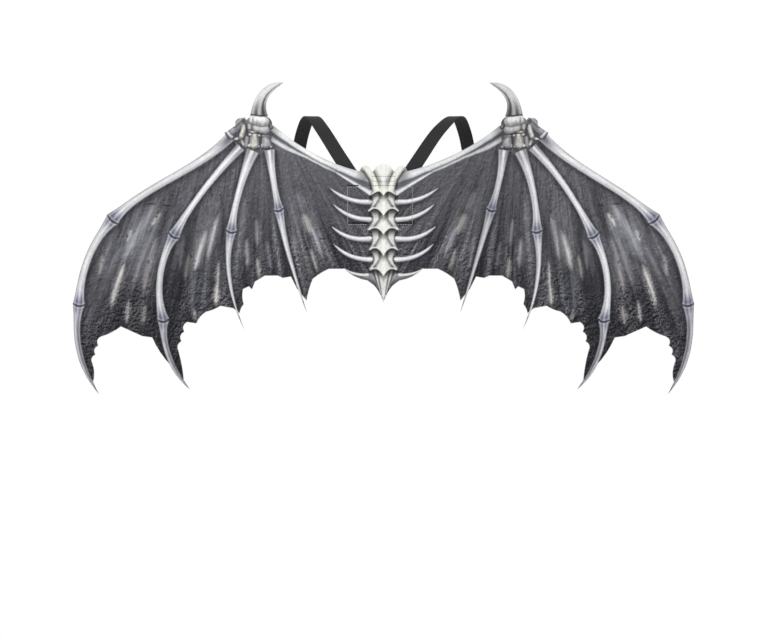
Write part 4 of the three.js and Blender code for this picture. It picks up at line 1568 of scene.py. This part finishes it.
@dataclass
class WingPanel:
    """The printed felt sheet with both wings and the spine, in mm."""

    fine: float = 1.2
    coarse: float = 2.4
    edge_step: float = 2.0
    edge_width: float = 1.0
    back_step: float = 8.0
    thickness: float = FELT_THICKNESS
    edge_tone: str = "#d6d6d3"
    edge_fade: float = 0.4
    seam_dip: float = 0.45
    seam_width: float = 1.6
    far_turn: float = 900.0
    flat: Pair = (0.913, 0.455)
    flat_area: float = 0.190

    def hem(self) -> Array:
        """Follows the ragged edge: straight runs, and parabolas that bite in by each row's depth.

        Returns:
            Rows of x and z from the outer claw to the tail.
        """
        rows = np.array([*HEM, (0, TAIL_TIP, 0, 0)], dtype=float)
        runs = []
        for row, after in zip(rows[:-1], rows[1:]):
            run = after[:2] - row[:2]
            inward = np.array([run[1], -run[0]]) / np.linalg.norm(run)
            steps = max(1, int(row[2]) * 4)
            count = np.arange(steps)
            within = (count % 4) / 4
            cut = row[3] * 4 * within * (1 - within) * (row[2] > 0)
            runs.append(row[:2] + run * (count / steps)[:, None] + inward * cut[:, None])
        return np.concatenate(runs)

    def rings(self) -> list[Array]:
        """Gives every closed ring whose union is the cut sheet.

        Returns:
            The membrane, then the crown, and each bone, wrist and lobe on both sides.
        """
        half = np.concatenate([np.array(UPPER_EDGE, dtype=float), self.hem()])
        tail = np.array([[0, TAIL_TIP]])
        membrane = np.concatenate([half, tail, mirrored(half[1:])])[::-1]
        rings = [membrane, ellipse_ring(*DOME)]
        halves = [mark.outline() for mark in CUT_BONES]
        halves.extend(ellipse_ring(*lobe) for lobe in LOBES)
        for ring in halves:
            rings.extend([ring, mirrored(ring)])
        return [divided(ring, self.edge_step) for ring in rings]

    def detailed(self, spots: Array, margin: float) -> Array:
        """Says which spots lie on or within a margin of a printed bone, rib, the wrist or the spine.

        Args:
            spots: Rows of x and z on the +X side.
            margin: Distance past each bone's edge.

        Returns:
            True for each such spot.
        """
        x, z, radius = FINE_WRIST
        found = np.hypot(spots[:, 0] - x, spots[:, 1] - z) < radius
        for half, top in FINE_COLUMNS:
            found |= (spots[:, 0] < half) & (spots[:, 1] < top)
        for mark in (ARM, *PRINTED_BONES, *RIBS):
            which = np.nonzero(in_box(spots, *mark.box(margin)))[0]
            share, offset, _ = mark.measure(spots[which])
            found[which[np.abs(offset) < mark.half(share) + margin]] = True
        return found

    def spots(self, rings: list[Array]) -> Array:
        """Spreads the inner spots: close together under the printed bones, wider on the membrane.

        Args:
            rings: The cut sheet's rings.

        Returns:
            Rows of x and z on both sides.
        """
        low, high = (0.0, SHEET_BOTTOM), (SHEET_HALF, SHEET_TOP)
        close = lattice(self.fine, low, high)
        wide = lattice(self.coarse, low, high)
        spots = np.concatenate([close[self.detailed(close, 1.6)], wide[~self.detailed(wide, 2.2)]])
        spots = spots[covered(rings, spots)]
        return np.concatenate([spots, spots * np.array([-1, 1])])

    def cut(self) -> tuple[Array, Array, Array]:
        """Nets the cut sheet: first its edge alone, then again with a row of spots set in and the inner ones.

        Returns:
            Rows of x and z, triangles as anticlockwise row numbers, and the edge as pairs of row numbers.
        """
        rings = self.rings()
        spots, triangles = net(np.concatenate(rings), [], rings)
        edge = border(triangles)
        run = spots[edge[:, 1]] - spots[edge[:, 0]]
        inward = np.zeros(spots.shape)
        for end in (0, 1):
            np.add.at(inward, edge[:, end], np.stack([-run[:, 1], run[:, 0]], axis=1))
        numbers, edge = np.unique(edge, return_inverse=True)
        edge = edge.reshape(-1, 2)
        rim = spots[numbers]
        inward = inward[numbers] / np.maximum(np.linalg.norm(inward[numbers], axis=1), 1e-9)[:, None]
        lined = rim + inward * self.edge_width
        lined = lined[covered(rings, lined)]
        lined = lined[gaps(lined, rim) > self.edge_width * 0.8]
        inner = self.spots(rings)
        inner = inner[gaps(inner, rim) > self.edge_width + self.fine * 0.6]
        places = np.concatenate([rim, lined, inner])
        _, triangles = net(places, edge.tolist(), rings)
        return places, triangles, edge

    def back(self, rim: Array, edge: Array) -> tuple[Array, Array]:
        """Nets the plain back with wide triangles that share the front's edge.

        Args:
            rim: The edge's rows of x and z.
            edge: The edge as pairs of its row numbers.

        Returns:
            Inner rows of x and z, and triangles over the edge's rows, then the inner ones.
        """
        inner = lattice(self.back_step, (-SHEET_HALF, SHEET_BOTTOM), (SHEET_HALF, SHEET_TOP))
        places = np.concatenate([rim, inner[gaps(inner, rim) > self.back_step * 0.4]])
        _, triangles = net(places, edge.tolist(), self.rings())
        used = np.unique(triangles[triangles >= len(rim)])
        number = np.arange(len(places))
        number[used] = np.arange(len(used)) + len(rim)
        return places[used], number[triangles]

    def depth(self, x: Array, z: Array) -> Array:
        """Gives the back face's y: the patch plane, the worn form and the small creases."""
        return PANEL_BACK + drape(x, z) + crumple(x, z)

    def seam(self, x: Array, z: Array) -> Array:
        """How far the stitching pulls the front face in: a narrow groove along the sewn rectangle."""
        gap = np.maximum(np.abs(x - PATCH_SHIFT) - SEAM_HALF_WIDTH, np.abs(z) - SEAM_HALF_HEIGHT)
        return self.seam_dip * bell(gap, self.seam_width)

    def front_depth(self, x: Array, z: Array) -> Array:
        """Gives the printed face's y, a thickness in front of the back face and pulled in along the seam."""
        return self.depth(x, z) - self.thickness + self.seam(x, z)

    def build(self, printed: Material, bare: Material) -> Piece:
        """Makes the closed sheet: the printed front, the plain back 2 mm behind it and the cut edge between.

        Args:
            printed: Material of the front.
            bare: Material of the back and the edge.

        Returns:
            The piece.
        """
        spots, triangles, edge = self.cut()
        rim = int(edge.max()) + 1
        inner, backs = self.back(spots[:rim], edge)
        x, z = spots.T
        x = x + lean(x, z)
        front = np.stack([x, self.front_depth(x, z), z], axis=1)
        x, z = np.concatenate([spots[:rim], inner]).T
        x = x + lean(x, z)
        behind = np.stack([x, self.depth(x, z), z], axis=1)
        a, b = edge.T
        back_a, back_b = a + len(spots), b + len(spots)
        wall = np.concatenate([np.stack([b, a, back_a], axis=1), np.stack([b, back_a, back_b], axis=1)])
        faces = np.concatenate([triangles, backs[:, ::-1] + len(spots), wall])
        places = np.concatenate([front, behind])
        piece = new_piece("printed_wing_panel", places, faces.tolist(), [printed, bare])
        mesh = piece.data
        kinds = np.ones(len(faces), dtype=np.int32)
        kinds[: len(triangles)] = 0
        mesh.polygons.foreach_set("material_index", kinds)
        self.dress(mesh, spots, rim, len(behind))
        mesh.set_sharp_from_angle(angle=math.radians(60))
        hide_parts("wing_panel")
        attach(piece, "root")
        return piece

    def wear(self, side: Array, height: Array) -> Array:
        """Gives how worn the membrane is, from 0.15 to 1: most by the hem and in the outer bays.

        Args:
            side: Distances from the spine.
            height: Heights.

        Returns:
            The wear at each place.
        """
        above = height - tabled(side, HEM_LEVEL)
        return 0.15 + 0.85 * smooth(105, 15, above) * (0.35 + 0.65 * smooth(190, 310, side))

    def dress(self, mesh: bpy.types.Mesh, spots: Array, rim: int, behind: int) -> None:
        """Writes the print, its smears and the fan's coordinates on the front's corners.

        Args:
            mesh: The sheet's mesh.
            spots: The front's rows of x and z, those on the cut edge first.
            rim: How many are on the cut edge.
            behind: How many corners the back has.
        """
        picture = Print(spots)
        picture.paint()
        picture.rgb[:rim] += (hex_values(self.edge_tone) - picture.rgb[:rim]) * self.edge_fade
        picture.cloth[:rim] = 0
        layers = (("print", picture.rgb, picture.cloth), ("smear", picture.smear_rgb, picture.smear))
        for name, rgb, strength in layers:
            inks = np.concatenate([to_linear(rgb), strength[:, None]], axis=1)
            layer = mesh.attributes.new(name, "FLOAT_COLOR", "POINT")
            layer.data.foreach_set("color", np.concatenate([inks, np.ones((behind, 4))]).ravel())
        side, z = np.abs(spots[:, 0]), spots[:, 1]
        turn, run = fan_out(side, z)
        fan = np.zeros((len(spots) + behind, 3))
        fan[: len(spots), 0] = turn + np.where(spots[:, 0] > 0, 0, self.far_turn)
        fan[: len(spots), 1] = run
        fan[: len(spots), 2] = self.wear(side, z)
        layer = mesh.attributes.new("fan", "FLOAT_VECTOR", "POINT")
        layer.data.foreach_set("vector", fan.ravel())


@dataclass
class AnchorPatch:
    """The felt rectangle that holds the strap ends on the wearer's side, in mm."""

    width: float = 95.0
    height: float = 55.0
    thickness: float = 1.5
    corner: float = 5.0
    least_corner: float = 0.6
    corner_pull: float = 0.35
    stitch_depth: float = 0.3
    around: int = 96

    def ring(self, inset: float) -> Array:
        """Walks round the rounded rectangle: a square's corner arcs, set in by a distance.

        Args:
            inset: Distance inside the outer edge.

        Returns:
            Rows of x and z.
        """
        turn = (np.arange(self.around) + 0.5) / self.around * 2 * np.pi
        radius = max(self.corner - inset, self.least_corner)
        half = np.array([self.width / 2 - inset - radius, self.height / 2 - inset - radius])
        way = np.stack([np.cos(turn), np.sin(turn)], axis=1)
        hold = np.abs(way) ** self.corner_pull * np.sign(way)
        return hold * half + way * radius + np.array([PATCH_SHIFT, 0])

    def seam_depth(self, x: Array, z: Array) -> Array:
        """Gives the y of the pressed-in line that the patch's own stitches lie in."""
        return np.full(np.broadcast(x, z).shape, -self.stitch_depth)

    def build(self, bare: Material) -> Piece:
        """Makes the closed patch: rings from the middle of one face over a rounded edge to the other's.

        Args:
            bare: The felt.

        Returns:
            The piece.
        """
        loops = []
        for inset, depth in PATCH_ROWS:
            flat = self.ring(inset)
            loops.append(np.stack([flat[:, 0], np.full(len(flat), -depth), flat[:, 1]], axis=1))
        places = np.concatenate(loops)
        ends = np.arange(self.around)
        faces = tube_walls(len(PATCH_ROWS), self.around).tolist()
        faces.append(ends[::-1].tolist())
        faces.append((ends + len(places) - self.around).tolist())
        piece = new_piece("strap_patch", places, faces, [bare])
        turn_outward(piece)
        piece.data.set_sharp_from_angle(angle=math.radians(70))
        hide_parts("anchor_patch")
        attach(piece, "root")
        return piece


def thread_through(stops: Array, shares: Array) -> Array:
    """Follows a smooth curve through stops: cubic runs whose slopes weigh each side by its length's root.

    Args:
        stops: Rows of x, y and z.
        shares: Shares from 0 to 1, equal parts for each run.

    Returns:
        A row for each share.
    """
    first = 2 * stops[:1] - stops[1:2]
    last = 2 * stops[-1:] - stops[-2:-1]
    row = np.concatenate([first, stops, last])
    place = np.clip(shares, 0, 1) * (len(stops) - 1)
    run = np.minimum(place.astype(int), len(stops) - 2)
    t = (place - run)[:, None]
    p0, p1, p2, p3 = (row[run + i] for i in range(4))
    gap = [np.sqrt(np.linalg.norm(b - a, axis=1))[:, None] for a, b in ((p0, p1), (p1, p2), (p2, p3))]
    mid = np.where(gap[1] < 1e-4, 1.0, gap[1])
    before = np.where(gap[0] < 1e-4, mid, gap[0])
    after = np.where(gap[2] < 1e-4, mid, gap[2])
    slope1 = ((p1 - p0) / before - (p2 - p0) / (before + mid) + (p2 - p1) / mid) * mid
    slope2 = ((p2 - p1) / mid - (p3 - p1) / (mid + after) + (p3 - p2) / after) * mid
    c2 = -3 * p1 + 3 * p2 - 2 * slope1 - slope2
    c3 = 2 * p1 - 2 * p2 + slope1 + slope2
    return p1 + slope1 * t + c2 * t**2 + c3 * t**3


class Side(Enum):
    """Which shoulder a strap goes over, as the printed face is seen."""

    RIGHT = 1
    LEFT = -1


class Face(Enum):
    """Which way stitches stand out along y: from the printed face or from the wearer's side."""

    PRINTED = -1
    WEARER = 1


@dataclass
class ShoulderStrap:
    """One flat elastic loop, in mm."""

    side: Side
    width: float = 20.0
    thickness: float = 1.4
    layer: float = -2.65
    settle: float = 60.0
    columns: int = 11
    steps: int = 216

    def profile(self) -> Array:
        """Gives the band's section, flat with round edges, anticlockwise.

        Returns:
            Rows of across and out.
        """
        half, edge = self.width / 2, self.thickness / 2
        columns = np.linspace(-1, 1, self.columns) * (half - edge)
        turn = np.linspace(-90, 90, 5)[1:-1] * np.pi / 180
        right = np.stack([half - edge + edge * np.cos(turn), edge * np.sin(turn)], axis=1)
        low = np.stack([columns, np.full(self.columns, -edge)], axis=1)
        return np.concatenate([low, right, -low, -right])

    def build(self, elastic: Material) -> Piece:
        """Carries the section along the route, turned so that its outer face looks outwards.

        Args:
            elastic: The strap's material.

        Returns:
            The piece.
        """
        table = np.array(STRAP_ROUTE, dtype=float)
        stops = table[:, :3] + np.array([0, self.layer, 0])
        looks = np.stack([np.zeros(len(table)), table[:, 3], table[:, 4]], axis=1)
        shares = np.linspace(0, 1, self.steps + 1)
        centre = thread_through(stops, shares)
        slope = thread_through(stops, shares + 1e-4) - thread_through(stops, shares - 1e-4)
        across = np.cross(slope, thread_through(looks, shares))
        across /= np.linalg.norm(across, axis=1)[:, None]
        face = np.cross(across, slope)
        face /= np.linalg.norm(face, axis=1)[:, None]
        section = self.profile()
        places = (
            centre[:, None, :]
            + section[None, :, :1] * across[:, None, :]
            + section[None, :, 1:] * face[:, None, :]
        )
        shift = PATCH_SHIFT * (1 - smooth(0, self.settle, places[..., 1]))
        places[..., 0] = self.side.value * places[..., 0] + shift
        ends = np.arange(len(section))
        faces = tube_walls(self.steps + 1, len(section)).tolist()
        faces.append(ends[::-1].tolist())
        faces.append((ends + self.steps * len(section)).tolist())
        name = f"elastic_strap_{self.side.name.lower()}"
        piece = new_piece(name, places.reshape(-1, 3), faces, [elastic])
        turn_outward(piece)
        run = np.concatenate([[0], np.cumsum(np.linalg.norm(np.diff(centre, axis=0), axis=1))])
        grid = np.stack(np.broadcast_arrays(section[None, :, 0], run[:, None]), axis=-1).reshape(-1, 2)
        corners = np.zeros(len(piece.data.loops), dtype=np.int32)
        piece.data.loops.foreach_get("vertex_index", corners)
        cloth = piece.data.uv_layers.new(name="strap_mm")
        cloth.uv.foreach_set("vector", grid[corners].ravel())
        piece.data.set_sharp_from_angle(angle=math.radians(60))
        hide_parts(f"strap_{self.side.name.lower()}")
        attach(piece, "root")
        LOG.info("%s is %.0f mm long", name, run[-1])
        return piece


@dataclass
class Stitching:
    """Rows of machine stitches: each stitch a short flattened bead of thread, in mm."""

    length: float = 2.7
    pitch: float = 3.4
    thick: float = 0.8
    flatness: float = 0.8
    lift: float = 0.12
    around: int = 6

    def bead(self) -> tuple[Array, Array]:
        """Gives one stitch about its middle: rings round its length, thin at both ends.

        Returns:
            Rows of along, up and across, and faces of four corners.
        """
        along = np.array([-0.5, -0.42, -0.2, 0.2, 0.42, 0.5]) * self.length
        size = np.array([0.25, 0.75, 1, 1, 0.75, 0.25])[:, None] * self.thick / 2
        turn = np.arange(self.around) / self.around * 2 * np.pi
        up, across = size * np.cos(turn) * self.flatness, size * np.sin(turn)
        rings = np.stack(np.broadcast_arrays(along[:, None], up, across), axis=-1)
        return rings.reshape(-1, 3), tube_walls(len(along), self.around)

    def row(self, first: Pair, last: Pair) -> tuple[Array, Array]:
        """Places stitches evenly along a straight run.

        Args:
            first: x and z of the run's start.
            last: x and z of its end.

        Returns:
            The stitches' middles as rows of x and z, and the run's way.
        """
        run = np.array(last, dtype=float) - np.array(first, dtype=float)
        count = max(2, int(round(np.linalg.norm(run) / self.pitch)))
        share = (np.arange(count) + 0.5) / count
        return np.array(first) + run * share[:, None], run / np.linalg.norm(run)

    def build(self, name: str, runs: Runs, face: Face, depth: Depth, thread: Material) -> Piece:
        """Makes one piece of thread from runs of stitches.

        Args:
            name: The piece's name.
            runs: Start and end of each run, each x and z.
            face: The face that the stitches stand out from.
            depth: Function that gives the cloth's y from x and z.
            thread: The thread.

        Returns:
            The piece.
        """
        bead, walls = self.bead()
        places = []
        for first, last in runs:
            middles, way = self.row(first, last)
            side = np.array([-way[1], way[0]])
            flat = middles[:, None] + bead[:, :1] * way + bead[:, 2:] * side
            y = depth(*middles.T)[:, None] + face.value * (bead[:, 1] + self.thick * self.lift)
            places.append(np.stack([flat[..., 0], y, flat[..., 1]], axis=-1))
        stitches = np.concatenate(places)
        offset = (np.arange(len(stitches)) * len(bead))[:, None, None]
        faces = (walls[None] + offset).reshape(-1, 4).tolist()
        ends = np.arange(self.around)
        caps = np.stack([ends[::-1], ends + len(bead) - self.around])
        faces.extend((caps[None] + offset).reshape(-1, self.around).tolist())
        piece = new_piece(name, stitches.reshape(-1, 3), faces, [thread])
        turn_outward(piece)
        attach(piece, "root")
        return piece


@dataclass
class Studio:
    """Floor, soft light and a camera square to the printed face, in metres."""

    distance: float = 4.0
    frame_width: float = 1.134
    sensor_width: float = 36.0
    aim_x: float = 0.0109
    aim_z: float = -0.1639
    floor_z: float = -1.1
    floor_radii: tuple[float, ...] = (1, 2, 3)
    floor_around: int = 64
    fill: float = 0.535
    lamp_place: tuple[float, float, float] = (-1.7, -2.6, 1.6)
    lamp_aim: tuple[float, float, float] = (0, 0, -0.05)
    lamp_size: float = 2.2
    lamp_watts: float = 80

    def build(self) -> None:
        """Makes the floor, the white surround, the lamp and the camera."""
        self.floor()
        self.surround()
        self.lamp()
        self.camera()

    def floor(self) -> None:
        """Lays a wide pale floor: a disc of rings, well below the wings."""
        n = self.floor_around
        turn = np.arange(n) / n * 2 * np.pi
        circle = np.stack([np.cos(turn), np.sin(turn)], axis=1)
        flat = np.concatenate([radius * circle for radius in self.floor_radii])
        places = np.column_stack([flat, np.full(len(flat), self.floor_z)])
        faces = [list(range(n)), *tube_walls(len(self.floor_radii), n)[:, ::-1].tolist()]
        material, nodes = new_material("matt_white_paint")
        spot = nodes.add("TexCoord").outputs["Object"]
        noise = nodes.add("TexNoise", {"Vector": spot, "Scale": 60.0}).outputs[0]
        nodes.surface(noise, (0.05, 0.001), {"Base Color": linear_colour("#f2f2f0"), "Roughness": 0.9})
        new_piece("studio_floor", places / MM, faces, [material])

    def surround(self) -> None:
        """Fills the room with even white light; the background itself shows as plain white."""
        world = bpy.data.worlds.new("white_studio")
        bpy.context.scene.world = world
        world.use_nodes = True
        world.node_tree.nodes.clear()
        nodes = Nodes(world.node_tree)
        ray = nodes.add("LightPath")
        fill = nodes.add("Background", {"Color": (1, 1, 1, 1), "Strength": self.fill})
        wall = nodes.add("Background", {"Color": (1, 1, 1, 1), "Strength": 1.0})
        feeds = {0: ray.outputs["Is Camera Ray"], 1: fill.outputs[0], 2: wall.outputs[0]}
        both = nodes.add("MixShader", feeds)
        nodes.add("OutputWorld", {"Surface": both.outputs[0]})

    def lamp(self) -> None:
        """Hangs a square soft lamp that looks at the wings."""
        data = bpy.data.lights.new("key", "AREA")
        data.shape = "SQUARE"
        data.size = self.lamp_size
        data.energy = self.lamp_watts
        lamp = bpy.data.objects.new("key", data)
        lamp.location = self.lamp_place
        way = Vector(self.lamp_aim) - Vector(self.lamp_place)
        lamp.rotation_euler = way.to_track_quat("-Z", "Y").to_euler()
        bpy.context.scene.collection.objects.link(lamp)

    def camera(self) -> None:
        """Sets a level camera square to the printed face; its lens fills the frame's width at the sheet."""
        data = bpy.data.cameras.new("front")
        data.sensor_width = self.sensor_width
        data.lens = data.sensor_width * self.distance / self.frame_width
        camera = bpy.data.objects.new("front", data)
        camera.location = (self.aim_x, -self.distance, self.aim_z)
        camera.rotation_euler = (math.pi / 2, 0, 0)
        bpy.context.scene.collection.objects.link(camera)
        bpy.context.scene.camera = camera
        bpy.context.scene.view_settings.view_transform = "Standard"


def main() -> None:
    """Builds the studio and every piece."""
    logging.basicConfig(level=logging.INFO, format="%(message)s")
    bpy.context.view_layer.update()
    Studio().build()
    bare = BareFelt().make()
    panel = WingPanel()
    sheet = panel.build(PrintedFelt().make(), bare)
    anchor = AnchorPatch()
    patch = anchor.build(bare)
    elastic = WovenElastic().make()
    for side in Side:
        ShoulderStrap(side).build(elastic)
    grey = SewingThread("grey_sewing_thread", "#c9c9c6", "#8f8f8d").make()
    black = SewingThread("black_sewing_thread", "#161618", "#0a0a0b").make()
    printed = (Face.PRINTED, panel.front_depth)
    pieces = [
        sheet,
        patch,
        Stitching().build("side_stitching", SIDE_RUNS, *printed, grey),
        Stitching(thick=2, length=3.2).build("level_stitching", LEVEL_RUNS, *printed, black),
        Stitching(thick=0.6).build("crown_stitching", CROWN_RUNS, *printed, black),
        Stitching().build("patch_stitching", PATCH_RUNS, Face.WEARER, anchor.seam_depth, black),
    ]
    for piece in pieces:
        LOG.info("%s has %d faces", piece.name, len(piece.data.polygons))


if __name__ == "__main__":
    main()
